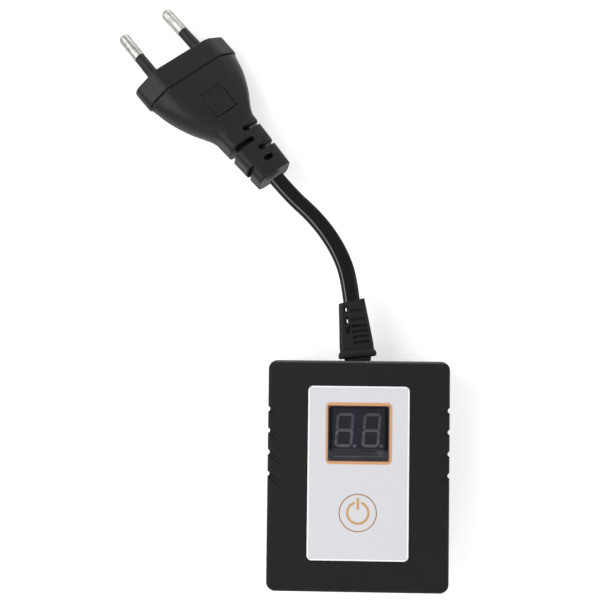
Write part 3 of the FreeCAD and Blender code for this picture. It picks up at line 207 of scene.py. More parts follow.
view = bpy.data.cameras.new("camera")
view.lens = 56.465
view.sensor_width = 36
view.shift_x = -0.050
view.shift_y = 0.080
view.clip_start = 0.01
camera = link(bpy.data.objects.new("camera", view))
camera.location = (-0.00166, 0.02958, 0.320)
camera.rotation_euler = (0.03383, 0.02522, 0.01124)
bpy.context.scene.camera = camera


# Supply cord: a flat two-core lead in soft black PVC, 5.5 by 3.2 mm, moulded into the grommet
# at one end and into the plug at the other. It hangs about 15 mm over the table between the two.

CORD_WIDTH = 5.5 * MM
CORD_THICKNESS = 3.2 * MM
CORD_CORNER = 1.45 * MM
CORD_IN_GROMMET = 2 * MM


def dress(material, *pieces):
    """Give each of these pieces this one material."""
    for piece in pieces:
        piece.data.materials.clear()
        piece.data.materials.append(material)


def moulded(name, colour, roughness, grain, depth, **constants):
    """Moulded plastic: eroded grain, gloss that varies a little, faint flow marks."""
    material, shader, place = finish(name, colour, roughness, **constants)
    flow = place.noise(6 * MM, 3)
    fine = place.noise(grain, 2)
    (flow * 0.12 + (roughness - 0.06)).into(shader, "Roughness")
    (flow * 0.6 + fine * 0.4).blend([c * 0.86 for c in colour],
                                    [c * 1.14 for c in colour]).into(shader, "Base Color")
    fine.bump(depth).into(shader, "Normal")
    return material


def skin(name, rings):
    """A closed skin through rings of points, every ring with the same count."""
    form = bmesh.new()
    rows = [[form.verts.new(point) for point in ring] for ring in rings]
    for row, following in zip(rows, rows[1:]):
        for i in range(len(row)):
            j = (i + 1) % len(row)
            form.faces.new((row[i], row[j], following[j], following[i]))
    form.faces.new(rows[0])
    form.faces.new(rows[-1])
    bmesh.ops.recalc_face_normals(form, faces=form.faces)
    return formed(name, form)


def formed(name, form, smooth=40):
    """A piece with this form, shaded smooth where its faces meet at less than this angle."""
    mesh = bpy.data.meshes.new(name)
    form.to_mesh(mesh)
    form.free()
    mesh.shade_smooth()
    mesh.set_sharp_from_angle(angle=math.radians(smooth))
    return link(bpy.data.objects.new(name, mesh))


def rounded_outline(width, length, corner, steps=6, middle=(0.0, 0.0)):
    """A rectangle with round corners, as a list of points."""
    points = []
    for turn, (right, far) in enumerate(((1, 1), (-1, 1), (-1, -1), (1, -1))):
        for i in range(steps + 1):
            angle = math.radians(90 * turn + 90 * i / steps)
            points.append((middle[0] + right * (width / 2 - corner) + corner * math.cos(angle),
                           middle[1] + far * (length / 2 - corner) + corner * math.sin(angle)))
    return points


# Points that the cord's line bends towards, in millimetres, from the grommet to the plug
CORD_ROUTE = [(-2.71, 55.55, 15.53), (-3.68, 62.98, 15.92), (-6.50, 70.45, 15.80),
              (-10.80, 77.50, 15.10), (-16.20, 83.85, 14.05), (-22.50, 89.49, 13.12),
              (-27.80, 95.60, 12.70)]


def cord_line():
    """Points along the cord's own smooth line."""
    curve = bpy.data.curves.new("cord_line", "CURVE")
    curve.dimensions = "3D"
    curve.resolution_u = 16
    spline = curve.splines.new("NURBS")
    spline.points.add(len(CORD_ROUTE) - 1)
    for point, at in zip(spline.points, CORD_ROUTE):
        point.co = (*(c * MM for c in at), 1)
    spline.order_u = 3
    spline.use_endpoint_u = True
    holder = link(bpy.data.objects.new("cord_line", curve))
    track = bpy.data.meshes.new_from_object(holder)
    points = [vertex.co.copy() for vertex in track.vertices]
    bpy.data.objects.remove(holder)
    return points


GROMMET_LEAN = math.radians(7.5)
PLUG_HEADING = math.radians(40.9)
PLUG_ROLL = math.radians(18.7)
PLUG_TILT = math.radians(3.0)
grommet_right = Vector((math.cos(GROMMET_LEAN), math.sin(GROMMET_LEAN), 0))
plug_forward = Vector((-math.sin(PLUG_HEADING) * math.cos(PLUG_TILT),
                       math.cos(PLUG_HEADING) * math.cos(PLUG_TILT), -math.sin(PLUG_TILT)))
plug_level = Vector((math.cos(PLUG_HEADING), math.sin(PLUG_HEADING), 0))
plug_right = (plug_level * math.cos(PLUG_ROLL)
              - plug_level.cross(plug_forward) * math.sin(PLUG_ROLL))

line = cord_line()
track = [line[0] + (line[0] - line[1]).normalized() * CORD_IN_GROMMET] + line
section = rounded_outline(CORD_WIDTH, CORD_THICKNESS, CORD_CORNER)
rings = []
for i, point in enumerate(track):
    way = (track[min(i + 1, len(track) - 1)] - track[max(i - 1, 0)]).normalized()
    share = i / (len(track) - 1)
    wide = grommet_right.lerp(plug_right, share)
    wide = (wide - way * wide.dot(way)).normalized()
    high = wide.cross(way)
    rings.append([point + wide * x + high * z for x, z in section])
cord = skin("supply_cord", rings)
cord_finish = moulded("cord_black", (0.0045, 0.0045, 0.0048), 0.15, 0.5 * MM, 0.003 * MM,
                      specular_ior_level=0.12)
# Its left shoulder, which faces mostly up, shines along a narrow line
shader = cord_finish.node_tree.nodes["Principled BSDF"]
geometry = cord_finish.node_tree.nodes.new("ShaderNodeNewGeometry")
facing_right, facing_up = Wire(geometry.outputs["Normal"]).parts()[::2]
left_shoulder = (abs(facing_up - 0.945) - 0.03).inside(0.02) * (facing_right + 0.12).inside(0.1)
left_shoulder.into(shader, "Coat Weight")
shader.inputs["Coat Roughness"].default_value = 0.04
dress(cord_finish, cord)
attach(cord, "case")
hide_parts("power_cord")


# Cord grommet: black PVC moulded over the cord and held in a slot of the case end. A lock, a
# neck and a flange grip the wall, and a tapered tail with slots on one side bends with the cord.

GROMMET_START = Vector((-0.4, 35.5, 15))
GROMMET_LENGTH = 20.2
ROOT_CORNER = 1.5
TAIL_START = 5.2
TAIL_SLOTTED_LENGTH = 13.3
TAIL_CORNER = 1.2
TAIL_STEPS = 24
TAIL_CORE = 2.2
SLOT_PLACES = (6.1, 7.9, 9.7, 11.4, 13.6, 16.4)
SLOT_WIDTH = 0.85
SLOT_LEFT = -0.9
SLOT_TO_EDGE = 1.1
NOTCH_LEFT = 3.15
NOTCH_HALF_HEIGHT = 1.8
HOLE_PLACES = (10.2, 13.4, 17.2)
HOLE_SIDE = -2.1
FIRST_HOLE_BOTTOM = 1.8


def grommet_turn(distance):
    """How the bent axis is turned at this distance: to the left, and a little up."""
    share = distance / GROMMET_LENGTH
    lean = math.radians(6 + 1.5 * share) * min(1, distance / 1.3)
    return Matrix.Rotation(lean, 4, "Z") @ Matrix.Rotation(math.radians(3) * share, 4, "X")


def grommet_place(distance):
    """Where the grommet's bent axis is, this many millimetres past the case end."""
    centre = GROMMET_START.copy()
    if distance <= 0:
        return Matrix.Translation((centre + Vector((0, distance, 0))) * MM)
    steps = 40
    for i in range(steps):
        centre += grommet_turn((i + 0.5) / steps * distance) @ Vector((0, distance / steps, 0))
    return Matrix.Translation(centre * MM) @ grommet_turn(distance)


def grommet_ring(distance, width, height, corner, inset=0.0, slant=0.0):
    section = rounded_outline((width - 2 * inset) * MM, (height - 2 * inset) * MM,
                              max(corner - inset, 0.2) * MM, 5)
    return [grommet_place(distance) @ Vector((x, x * slant, z)) for x, z in section]


def tail(distance):
    """Width and height of the tapered tail."""
    share = max(0.0, distance - TAIL_START) / (GROMMET_LENGTH - TAIL_START)
    return 11.0 - 2.6 * share, 7.8 - 1.8 * share


def carve(piece, cutters):
    """Take the cutters out of a piece, which keeps the mesh that is left."""
    for cutter in cutters:
        step = piece.modifiers.new("cut", "BOOLEAN")
        step.operation = "DIFFERENCE"
        step.solver = "EXACT"
        step.object = cutter
    bpy.context.view_layer.update()
    cut = bpy.data.meshes.new_from_object(piece.evaluated_get(bpy.context.evaluated_depsgraph_get()))
    piece.modifiers.clear()
    piece.data = cut
    for cutter in cutters:
        bpy.data.objects.remove(cutter)


def ease(piece, width):
    """Round a piece's sharp edges a little, as a mould leaves them."""
    soft = piece.modifiers.new("edges", "BEVEL")
    soft.width = width
    soft.segments = 2
    soft.limit_method = "ANGLE"
    soft.angle_limit = math.radians(50)
    soft.use_clamp_overlap = True
    piece.modifiers.new("normals", "WEIGHTED_NORMAL").keep_sharp = True


def prism(points, low, high, where):
    """A cutter: an outline in X and Y carried from one level to another."""
    form = bmesh.new()
    rows = [[form.verts.new(where @ Vector((x * MM, y * MM, z * MM))) for x, y in points]
            for z in (low, high)]
    count = len(points)
    for i in range(count):
        j = (i + 1) % count
        form.faces.new((rows[0][i], rows[0][j], rows[1][j], rows[1][i]))
    form.faces.new(rows[0])
    form.faces.new(rows[1])
    bmesh.ops.recalc_face_normals(form, faces=form.faces)
    return formed("cutter", form)


def slot_outline(low, high, width, round_low=True, round_high=True):
    """A slot along X, round at the ends that stay inside the piece."""
    half = width / 2
    points = []
    for end, turn, is_round in ((high, -90, round_high), (low, 90, round_low)):
        centre = end - half if turn < 0 else end + half
        if not is_round:
            points += [(end, -half), (end, half)] if turn < 0 else [(end, half), (end, -half)]
            continue
        for i in range(7):
            angle = math.radians(turn + 180 * i / 6)
            points.append((centre + half * math.cos(angle), half * math.sin(angle)))
    return points


# Distance past the case end, width, height, and how far in the edge is drawn
GROMMET_ROOT = [(-3.6, 11.0, 8.4, 0.3), (-3.3, 11.0, 8.4, 0), (-2.4, 11.0, 8.4, 0),
                (-2.2, 11.0, 8.4, 0.2), (-2.2, 6.8, 6.0, 0), (0.15, 6.8, 6.0, 0), (0.3, 8.4, 6.0, 0),
                (1.3, 8.8, 6.0, 0), (1.3, 11.8, 8.8, 0.35), (1.4, 12.0, 8.9, 0.1),
                (1.6, 12.2, 9.0, 0), (2.5, 12.3, 9.0, 0), (2.9, 12.2, 8.9, 0.1),
                (3.5, 11.9, 8.5, 0.4)]
rings = []
for at, width, height, inset in GROMMET_ROOT:
    rings.append(grommet_ring(at, width, height, ROOT_CORNER, inset))
rings.append(grommet_ring(4.0, *tail(4.0), TAIL_CORNER))
for i in range(TAIL_STEPS + 1):
    at = TAIL_START + TAIL_SLOTTED_LENGTH * i / TAIL_STEPS
    rings.append(grommet_ring(at, *tail(at), TAIL_CORNER))
# The end's rings: distance, the distance whose width they have, and how far in they are drawn
for at, like, inset in ((19.55, 19.6, 0), (19.7, 19.7, 0.1), (19.75, 19.75, 0.35)):
    rings.append(grommet_ring(at, *tail(like), TAIL_CORNER, inset, slant=0.1))
grommet = skin("cord_grommet_fine", rings)
cutters = []
clear = 12
for distance in SLOT_PLACES:
    at = grommet_place(distance)
    slot = slot_outline(SLOT_LEFT, tail(distance)[0] / 2 - SLOT_TO_EDGE, SLOT_WIDTH)
    for low, high in ((TAIL_CORE, clear), (-clear, -TAIL_CORE)):
        cutters.append(prism(slot, low, high, at))
    notch = slot_outline(NOTCH_LEFT, clear, SLOT_WIDTH, False, False)
    cutters.append(prism(notch, -NOTCH_HALF_HEIGHT, NOTCH_HALF_HEIGHT, at))
for distance in HOLE_PLACES:
    at = grommet_place(distance)
    bottom = FIRST_HOLE_BOTTOM if distance == HOLE_PLACES[0] else -clear
    hole = [(x + HOLE_SIDE, y) for y, x in slot_outline(-0.65, 0.65, 0.32)]
    cutters.append(prism(hole, bottom, clear, at))
    dimple = [(x + HOLE_SIDE, y) for y, x in slot_outline(-1.2, 1.2, 1.3)]
    cutters.append(prism(dimple, tail(distance)[1] / 2 - 1.2, clear, at))
carve(grommet, cutters)
ease(grommet, 0.1 * MM)
dress(moulded("grommet_black", (0.0062, 0.0062, 0.0066), 0.42, 0.4 * MM, 0.01 * MM,
              specular_ior_level=0.16), grommet)
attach(grommet, "case")
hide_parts("cord_grommet")


# Moulded plug: an eight-sided flange, a waisted body and a slotted strain relief, shot in one
# piece of black PVC over the pins. Its broad face has a bare rectangular recess.

PLUG_FACE = Vector((-61.0153, 133.9447, 10.0374))
plug_at = Matrix((plug_right, plug_forward, plug_right.cross(plug_forward))).transposed().to_4x4()
plug_at.translation = PLUG_FACE * MM


def eight_sided(width, thick, corner_x, corner_z, crown, bulge, edge):
    """Points round a section with arched broad faces, slanting shoulders and round corners."""
    half, top = width / 2, thick / 2 - crown
    flat, side = half - corner_x, top - corner_z
    corners = [Vector(point) for point in ((flat, top), (-flat, top), (-half, side), (-half, -side),
                                           (-flat, -top), (flat, -top), (half, -side), (half, side))]
    spans = []
    for i, start in enumerate(corners):
        end = corners[(i + 1) % 8]
        along = end - start
        bow = crown if i in (0, 4) else 0 if i in (2, 6) else bulge * along.length
        spans.append((start, along, Vector((-along.y, along.x)).normalized() * -bow * 4))

    def on(i, distance):
        start, along, bow = spans[i]
        t = distance / along.length
        return start + along * t + bow * (t * (1 - t))

    points = []
    longest = 0.45
    for i, (start, along, bow) in enumerate(spans):
        reach = min(edge, longest * along.length)
        before = spans[i - 1][1].length
        back = min(edge, longest * before)
        first, last = on(i - 1, before - back), on(i, reach)
        for k in range(5):
            t = k / 5
            points.append(first * (1 - t) ** 2 + start * (2 * t * (1 - t)) + last * t ** 2)
        steps = 10 if i in (0, 4) else 5
        points += [on(i, reach + (along.length - 2 * reach) * k / steps) for k in range(steps)]
    return points


def plug_ring(distance, width, thick, corner_x, corner_z, edge, crown=0.0, bulge=0.0, inset=0.0):
    outline = eight_sided(width - 2 * inset, thick - 2 * inset, corner_x, corner_z, crown, bulge, edge)
    return [(x * MM, -distance * MM, z * MM) for x, z in outline]


# Width, thickness, shoulder width, shoulder height and corner rounding
FLANGE = (36.4, 13.7, 7.15, 4.9, 1.8)
# Distance behind the plug's face, and how far in the edge is drawn
FLANGE_RINGS = [(0, 0.9), (0, 0.5), (0.07, 0.24), (0.24, 0.07), (0.5, 0), (7.1, 0), (7.3, 0.05),
                (7.45, 0.18), (7.5, 0.4), (7.5, 0.55), (8.2, 0.55)]
# Distance behind the face, then the same five measures as the flange's
WAIST = [(8.3, 34.7, 13.3, 6.6, 4.9, 1.0), (14.66, 31.1, 13.0, 5.45, 4.2, 1.6),
         (21.0, 25.2, 12.4, 4.3, 3.5, 2.2), (26.4, 18.2, 11.3, 3.3, 2.95, 2.0),
         (29.0, 15.6, 10.6, 2.8, 2.6, 1.4), (30.8, 14.7, 10.2, 2.0, 1.9, 0.9)]
WAIST_LENGTH = 22.5
WAIST_STEPS = 40
RELIEF_LENGTH = 19.0
RELIEF_STEPS = 24
# Width, thickness, shoulder width, shoulder height and corner rounding of the relief's end
RELIEF_END = (12.7, 9.4, 2.0, 1.9, 0.8)
RELIEF_END_RINGS = [(49.75, 0.1), (49.85, 0.3)]
ARCHED = {"crown": 0.35, "bulge": 0.12}


def through(stations, distance):
    """Smooth measures between stations, whose first number is their distance."""
    i = 0
    while i < len(stations) - 2 and stations[i + 1][0] < distance:
        i += 1
    last = len(stations) - 1
    near = [stations[min(max(k, 0), last)] for k in (i - 1, i, i + 1, i + 2)]
    place_before, place, place_after, place_beyond = (station[0] for station in near)
    span = place_after - place
    t = (distance - place) / span
    measures = []
    for before, here, after, beyond in zip(*(station[1:] for station in near)):
        rise = (after - before) / (place_after - place_before) * span
        fall = (beyond - here) / (place_beyond - place) * span
        measures.append((2 * t ** 3 - 3 * t ** 2 + 1) * here + (t ** 3 - 2 * t ** 2 + t) * rise
                        + (3 * t ** 2 - 2 * t ** 3) * after + (t ** 3 - t ** 2) * fall)
    return measures


rings = [plug_ring(at, *FLANGE, inset=inset) for at, inset in FLANGE_RINGS]
for i in range(WAIST_STEPS + 1):
    at = WAIST[0][0] + WAIST_LENGTH * i / WAIST_STEPS
    rings.append(plug_ring(at, *through(WAIST, at), **ARCHED))
relief_start, width, thick, *corners = WAIST[-1]
for i in range(1, RELIEF_STEPS + 1):
    at = relief_start + (RELIEF_LENGTH - 0.2) * i / RELIEF_STEPS
    share = (at - relief_start) / RELIEF_LENGTH
    rings.append(plug_ring(at, width - 2.0 * share, thick - 0.8 * share, *corners, **ARCHED))
rings += [plug_ring(at, *RELIEF_END, inset=inset, **ARCHED) for at, inset in RELIEF_END_RINGS]
plug = skin("plug_moulding", rings)

cutters = []
clear = 14
RELIEF_CORE = 2.2
RELIEF_SLOT_WIDTH = 1.9
FIRST_SLOT = 32.6
SLOT_PITCH = 4.05
# Each slot's two ends across the relief, then the ends and width of its notch through the side
RELIEF_SLOTS = [(0.1, clear, 3.45, clear, 1.5), (-clear, 1.4, -clear, -3.45, 2.1),
                (0.1, clear, 3.45, clear, 1.5), (-0.9, 2.7, -clear, -5.0, 1.5)]
for i, (low, high, *notch) in enumerate(RELIEF_SLOTS):
    along = Matrix.Translation((0, -(FIRST_SLOT + SLOT_PITCH * i) * MM, 0))
    outline = slot_outline(low, high, RELIEF_SLOT_WIDTH, low > -clear, high < clear)
    for bottom, top in ((RELIEF_CORE, clear), (-clear, -RELIEF_CORE)):
        cutters.append(prism(outline, bottom, top, along))
    cutters.append(prism(slot_outline(*notch, False, False), -clear, clear, along))

RECESS_MIDDLE = (0, -20 * MM, 5.84 * MM)
RECESS_SLOPE = math.radians(5.2)
RECESS_TOP = 9
# Left, near, right and far edge of the recess and of the grooves in it, and their level
RECESS = [(-4.4, -4.7, 4.4, 4.7, 0), (-4.4, -4.7, 4.4, -4.25, -0.7), (-4.4, -4.7, -4.1, 0.5, -0.3)]
slope = Matrix.Translation(RECESS_MIDDLE) @ Matrix.Rotation(RECESS_SLOPE, 4, "X")
for left, near, right, far, level in RECESS:
    outline = [(left, near), (right, near), (right, far), (left, far)]
    cutters.append(prism(outline, level, RECESS_TOP, slope))
carve(plug, cutters)
plug.data.transform(plug_at)
ease(plug, 0.12 * MM)
dress(moulded("plug_black", (0.0076, 0.0073, 0.0075), 0.42, 0.35 * MM, 0.01 * MM,
              specular_ior_level=0.2), plug)
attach(plug, "case")
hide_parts("plug_body")

dress(moulded("bridge_grey", (0.3, 0.3, 0.29), 0.55, 0.3 * MM, 0.01 * MM), nodes["plug_bridge"])


# Plug pins: nickel-plated brass rods of 4 mm, round at the tip, that lean a little towards each
# other. The half next to the flange wears a black insulating sleeve.

PIN_LENGTH = 19.0
PIN_SPACING = 18.6
PIN_TIP_SPACING = 17.5
PIN_TIP_ROUNDING = 1.44


def turned(name, profile):
    """A turned piece: each (place along Y, radius) carried round the Y axis, in millimetres."""
    steps = 40
    rings = []
    for y, radius in profile:
        rings.append([(radius * MM * math.cos(2 * math.pi * k / steps), y * MM,
                       radius * MM * math.sin(2 * math.pi * k / steps)) for k in range(steps)])
    return skin(name, rings)


nickel, shader, place = finish("pin_nickel", (0.66, 0.65, 0.63), 0.2, metallic=1.0)
drawn = place.seen_along(plug_at).noise(0.5 * MM, 3, (1, 0.03, 1))
dull = place.noise(1.6 * MM, 3)
(dull * 0.2 + 0.26).into(shader, "Roughness")
# Dark streaks along the pins: drawn marks, with painted dark reflections among them
drawn_marks_and_painted_reflections = ((drawn * 0.7 + dull * 0.3) * 3 - 1).most(0).least(1)
drawn_marks_and_painted_reflections.blend((0.13, 0.128, 0.12), (0.58, 0.57, 0.54)).into(shader, "Base Color")
drawn.bump(0.006 * MM).into(shader, "Normal")
sleeve_finish = moulded("sleeve_black", (0.011, 0.011, 0.0115), 0.42, 0.3 * MM, 0.008 * MM,
                        specular_ior_level=0.2)
# Distance from the plug's face, and radius
pin_profile = [(-8.8, 1.3), (-8.7, 1.45), (9.5, 1.45), (9.5, 1.85), (9.6, 1.98), (9.8, 2.0)]
for degrees in range(0, 91, 10):
    angle = math.radians(degrees)
    pin_profile.append((PIN_LENGTH - PIN_TIP_ROUNDING * (1 - math.sin(angle)),
                        0.56 + PIN_TIP_ROUNDING * math.cos(angle)))
sleeve_profile = [(-0.1, 1.5), (-0.1, 2.0), (0.3, 2.0), (4, 1.95), (8, 1.88), (9.2, 1.86), (9.4, 1.8),
                  (9.46, 1.65), (9.46, 1.5)]
lean = math.atan2((PIN_SPACING - PIN_TIP_SPACING) / 2, PIN_LENGTH)
pin_pieces = []
for side, hand in ((-1, "left"), (1, "right")):
    at = plug_at @ Matrix.Translation((side * PIN_SPACING / 2 * MM, 0, 0))
    at = at @ Matrix.Rotation(side * lean, 4, "Z")
    pin = turned("pin_" + hand, pin_profile)
    sleeve = turned("sleeve_" + hand, sleeve_profile)
    for piece, material, node, slot in ((pin, nickel, "plug_pin_", "pin_nickel"),
                                        (sleeve, sleeve_finish, "pin_sleeve_", "sleeve_black")):
        piece.data.transform(at)
        dress(material, piece)
        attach(piece, "case")
        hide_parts(node + hand)
        pin_pieces.append(piece)

[grommet, plug, nodes["plug_bridge"]] + pin_pieces


# Rear shell: moulded in black ABS with a spark-eroded skin, the same as the front shell. Its
# posts carry the power board, and four deep wells take the case screws.

def case_plastic(name):
    """Matte black ABS with an even, fine eroded grain."""
    material, shader, place = finish(name, (0.0062, 0.006, 0.0063), 0.5, specular_ior_level=0.14)
    grain = place.noise(0.28 * MM, 3)
    cloud = place.noise(14 * MM, 3)
    (cloud * 0.10 + grain * 0.06 + 0.44).into(shader, "Roughness")
    (cloud * 0.5 + grain * 0.5).blend((0.0048, 0.0046, 0.0048),
                                      (0.0080, 0.0077, 0.0079)).into(shader, "Base Color")
    grain.bump(0.02 * MM).into(shader, "Normal")
    return material, shader, place


dress(case_plastic("case_black_rear")[0], nodes["rear_shell"])


# Power board: glass-fibre board under green solder mask, screwed to four posts. It carries the
# relay, a film capacitor, the supply's can, a rectifier, a fuse, a surge arrester and resistors.

def board_finish(name, pitch):
    """Green solder mask over copper tracks."""
    material, shader, place = finish(name, (0.02, 0.16, 0.05), 0.3, coat_weight=0.3)
    weave = place.noise(0.3 * MM, 2)
    tracks = place.add("ShaderNodeTexBrick", {"offset": 0.5, "squash": 1.6, "squash_frequency": 3},
                       {"Vector": place, "Scale": 1 / pitch, "Color1": (1, 1, 1, 1),
                        "Color2": (1, 1, 1, 1), "Mortar": (0, 0, 0, 1), "Mortar Size": 0.11,
                        "Mortar Smooth": 0.1}, out="Fac")
    tracks.blend((0.025, 0.19, 0.06), (0.012, 0.10, 0.035)).into(shader, "Base Color")
    (weave * 0.15 + 0.22).into(shader, "Roughness")
    (tracks * -0.7 + weave * 0.2).bump(0.03 * MM).into(shader, "Normal")
    return material


dress(board_finish("board_green_power", 5 * MM), nodes["power_board"])
dress(moulded("relay_black", (0.02, 0.02, 0.022), 0.3, 0.6 * MM, 0.02 * MM), nodes["relay"])
dress(moulded("film_yellow", (0.62, 0.42, 0.03), 0.28, 0.8 * MM, 0.03 * MM), nodes["film_capacitor"])
dress(moulded("rectifier_black", (0.025, 0.025, 0.027), 0.5, 0.25 * MM, 0.02 * MM),
      nodes["bridge_rectifier"])
dress(moulded("fuse_brown", (0.16, 0.07, 0.03), 0.35, 0.7 * MM, 0.02 * MM), nodes["fuse"])
dress(moulded("varistor_blue", (0.02, 0.10, 0.42), 0.32, 0.5 * MM, 0.05 * MM), nodes["varistor"])

CAN_TOP = 17.35 * MM
CAN_MIDDLE_Y = 5.4 * MM
can, shader, place = finish("can_sleeve", (0.03, 0.03, 0.05), 0.3)
x, y, z = place.parts()
top = (z - CAN_TOP).inside(0.05 * MM)
stripe = (abs(y - CAN_MIDDLE_Y) - 1.2 * MM).inside(0.1 * MM) * (x > 14 * MM)
shell = stripe.blend((0.03, 0.03, 0.05), (0.55, 0.55, 0.58))
top.blend((0.7, 0.7, 0.71), shell).into(shader, "Base Color")
(1 - top).into(shader, "Metallic")
(place.noise(1 * MM) * 0.2 + 0.2).into(shader, "Roughness")
dress(can, nodes["electrolytic_capacitor"])

RESISTOR_MIDDLE_Y = 3.5 * MM
RESISTOR_HALF = 3.25 * MM
BAND_HALF = 0.25 * MM
TAN = (0.62, 0.47, 0.28)
resistor, shader, place = finish("resistor_tan", TAN, 0.4)
along = place.parts()[1] - RESISTOR_MIDDLE_Y
wire = (RESISTOR_HALF - abs(along)).inside(0.05 * MM)
bands = 0
for centre in (-2.0, -0.8, 0.4):
    bands = (abs(along - centre * MM) - BAND_HALF).inside(0.05 * MM) + bands
gold = (abs(along - 2.1 * MM) - BAND_HALF).inside(0.05 * MM)
body = gold.blend(bands.blend(TAN, (0.28, 0.05, 0.02)), (0.6, 0.36, 0.05))
wire.blend(body, (0.7, 0.69, 0.66)).into(shader, "Base Color")
wire.into(shader, "Metallic")
(place.noise(0.5 * MM) * 0.2 + 0.28).into(shader, "Roughness")
dress(resistor, nodes["resistors"])


# Leads: stranded wire in soft PVC, brown for live and blue for neutral. Two come in from the
# grommet and two run from the board to the output contacts.

for name, colour, end in (("lead_brown", (0.16, 0.06, 0.025), "live"),
                          ("lead_blue", (0.02, 0.09, 0.42), "neutral")):
    lead = moulded(name, colour, 0.34, 0.5 * MM, 0.01 * MM)
    dress(lead, nodes["supply_lead_" + end], nodes["socket_lead_" + end])


# Output socket: a block of glossy black PBT trapped between the two shells, with two round
# entries for a plug's pins and a split brass tube behind each.

socket_finish = moulded("socket_black", (0.008, 0.008, 0.0085), 0.34, 0.7 * MM, 0.01 * MM,
                        specular_ior_level=0.16)
dress(socket_finish, nodes["socket_block"])


def metal(name, low, high, roughness, grain):
    """Bare or plated metal, dulled in clouds of this size."""
    material, shader, place = finish(name, high, roughness, metallic=1.0)
    cloud = place.noise(grain, 4)
    cloud.blend(low, high).into(shader, "Base Color")
    (cloud * 0.2 + (roughness - 0.1)).into(shader, "Roughness")
    cloud.bump(0.01 * MM).into(shader, "Normal")
    return material


brass = metal("contact_brass", (0.55, 0.37, 0.12), (0.78, 0.58, 0.26), 0.3, 0.8 * MM)
dress(brass, nodes["socket_contact_left"], nodes["socket_contact_right"])


# Control board: the same green board under the display, fixed to four posts of the front shell.
# It carries the display, the key's switch, the controller and its crystal.

dress(board_finish("board_green_control", 4 * MM), nodes["control_board"])
dress(moulded("chip_black", (0.022, 0.022, 0.024), 0.55, 0.15 * MM, 0.015 * MM),
      nodes["microcontroller"])
dress(metal("crystal_can", (0.6, 0.6, 0.6), (0.8, 0.8, 0.8), 0.3, 1.2 * MM), nodes["crystal"])
steel = metal("screw_steel", (0.42, 0.43, 0.45), (0.68, 0.69, 0.71), 0.36, 0.5 * MM)
dress(steel, nodes["control_board_screws"], nodes["power_board_screws"])
tin = metal("tinned_pin", (0.6, 0.6, 0.59), (0.8, 0.8, 0.79), 0.35, 0.4 * MM)
dress(tin, nodes["display_pins"])

BLACK = (0.02, 0.02, 0.02)
HEADER_BLOCK_TOP = 8.1 * MM
header, shader, place = finish("header_black", BLACK, 0.4)
pins = place.parts()[2] > HEADER_BLOCK_TOP
pins.blend(BLACK, (0.75, 0.55, 0.2)).into(shader, "Base Color")
pins.into(shader, "Metallic")
(place.noise(0.5 * MM) * 0.2 + 0.28).into(shader, "Roughness")
dress(header, nodes["board_link_header"])

KEY_Y = -11.2 * MM
SWITCH_COVER_LEVEL = 24.9 * MM
PLUNGER_HOLE_RADIUS = 2.2 * MM
switch, shader, place = finish("switch_black", BLACK, 0.4)
x, y, z = place.parts()
outside_plunger = (x * x + (y - KEY_Y) * (y - KEY_Y)) > PLUNGER_HOLE_RADIUS ** 2
cover = (z > SWITCH_COVER_LEVEL) * outside_plunger
cover.blend(BLACK, (0.6, 0.6, 0.6)).into(shader, "Base Color")
cover.into(shader, "Metallic")
(place.noise(0.6 * MM) * 0.2 + 0.25).into(shader, "Roughness")
dress(switch, nodes["tact_switch_body"])
dress(moulded("plunger_black", (0.015, 0.015, 0.015), 0.35, 0.3 * MM, 0.01 * MM),
      nodes["tact_switch_plunger"])


# Display: a block with a dark printed face and two slanted eights cast into it in milky resin.
# Unlit, the segments are only a little lighter than the face behind the smoked window.

face, shader, place = finish("display_face", (0.02, 0.02, 0.03), 0.35)
x = place.parts()[0]
between_digits = (abs(x + 0.3 * MM) - 0.5 * MM).inside(1.2 * MM)
cloud = place.noise(1.4 * MM, 2, (1, 3, 1))
tone = cloud.blend((0.016, 0.017, 0.025), (0.028, 0.029, 0.038))
(between_digits * 0.7).blend(tone, (0.036, 0.03, 0.075)).into(shader, "Base Color")
(cloud * 0.2 + 0.25).into(shader, "Roughness")
dress(face, nodes["display_module"])

FOOT_BARS_Y = 9.6 * MM
MIDDLE_BARS_Y = 13.4 * MM
segment, shader, place = finish("segment_grey", (0.3, 0.3, 0.3), 0.4)
y = place.parts()[1]
cloud = (place.noise(1.1 * MM, 2) * 2 - 0.5).most(0).least(1)
foot_bars = (y - FOOT_BARS_Y).inside(6 * MM)
middle_bars = (abs(y - MIDDLE_BARS_Y) - 0.7 * MM).inside(0.4 * MM)
tone = cloud.blend((0.13, 0.13, 0.135), (0.36, 0.36, 0.365))
tone = (foot_bars * 0.6).most(middle_bars * 0.5).blend(tone, (0.58, 0.58, 0.59))
tone.into(shader, "Base Color")
(cloud * 0.2 + 0.3).into(shader, "Roughness")
dress(segment, nodes["display_segments"])


# Front shell: black ABS like the rear one, with a shallow recess for the panel and four slanted
# grip grooves on each side that fade out of the front face.

POLISHED_FROM_Y = 34.7 * MM
POLISHED_FROM_LEVEL = 29 * MM
front_finish, shader, place = case_plastic("case_black")
x, y, z = place.parts()
far_edge = (POLISHED_FROM_Y - y).inside(0.3 * MM) * (POLISHED_FROM_LEVEL - z).inside(0.3 * MM)
(far_edge * (place.noise(3 * MM, 2) * 0.2 + 0.8)).into(shader, "Coat Weight")
shader.inputs["Coat Roughness"].default_value = 0.12
dress(front_finish, nodes["front_shell"])
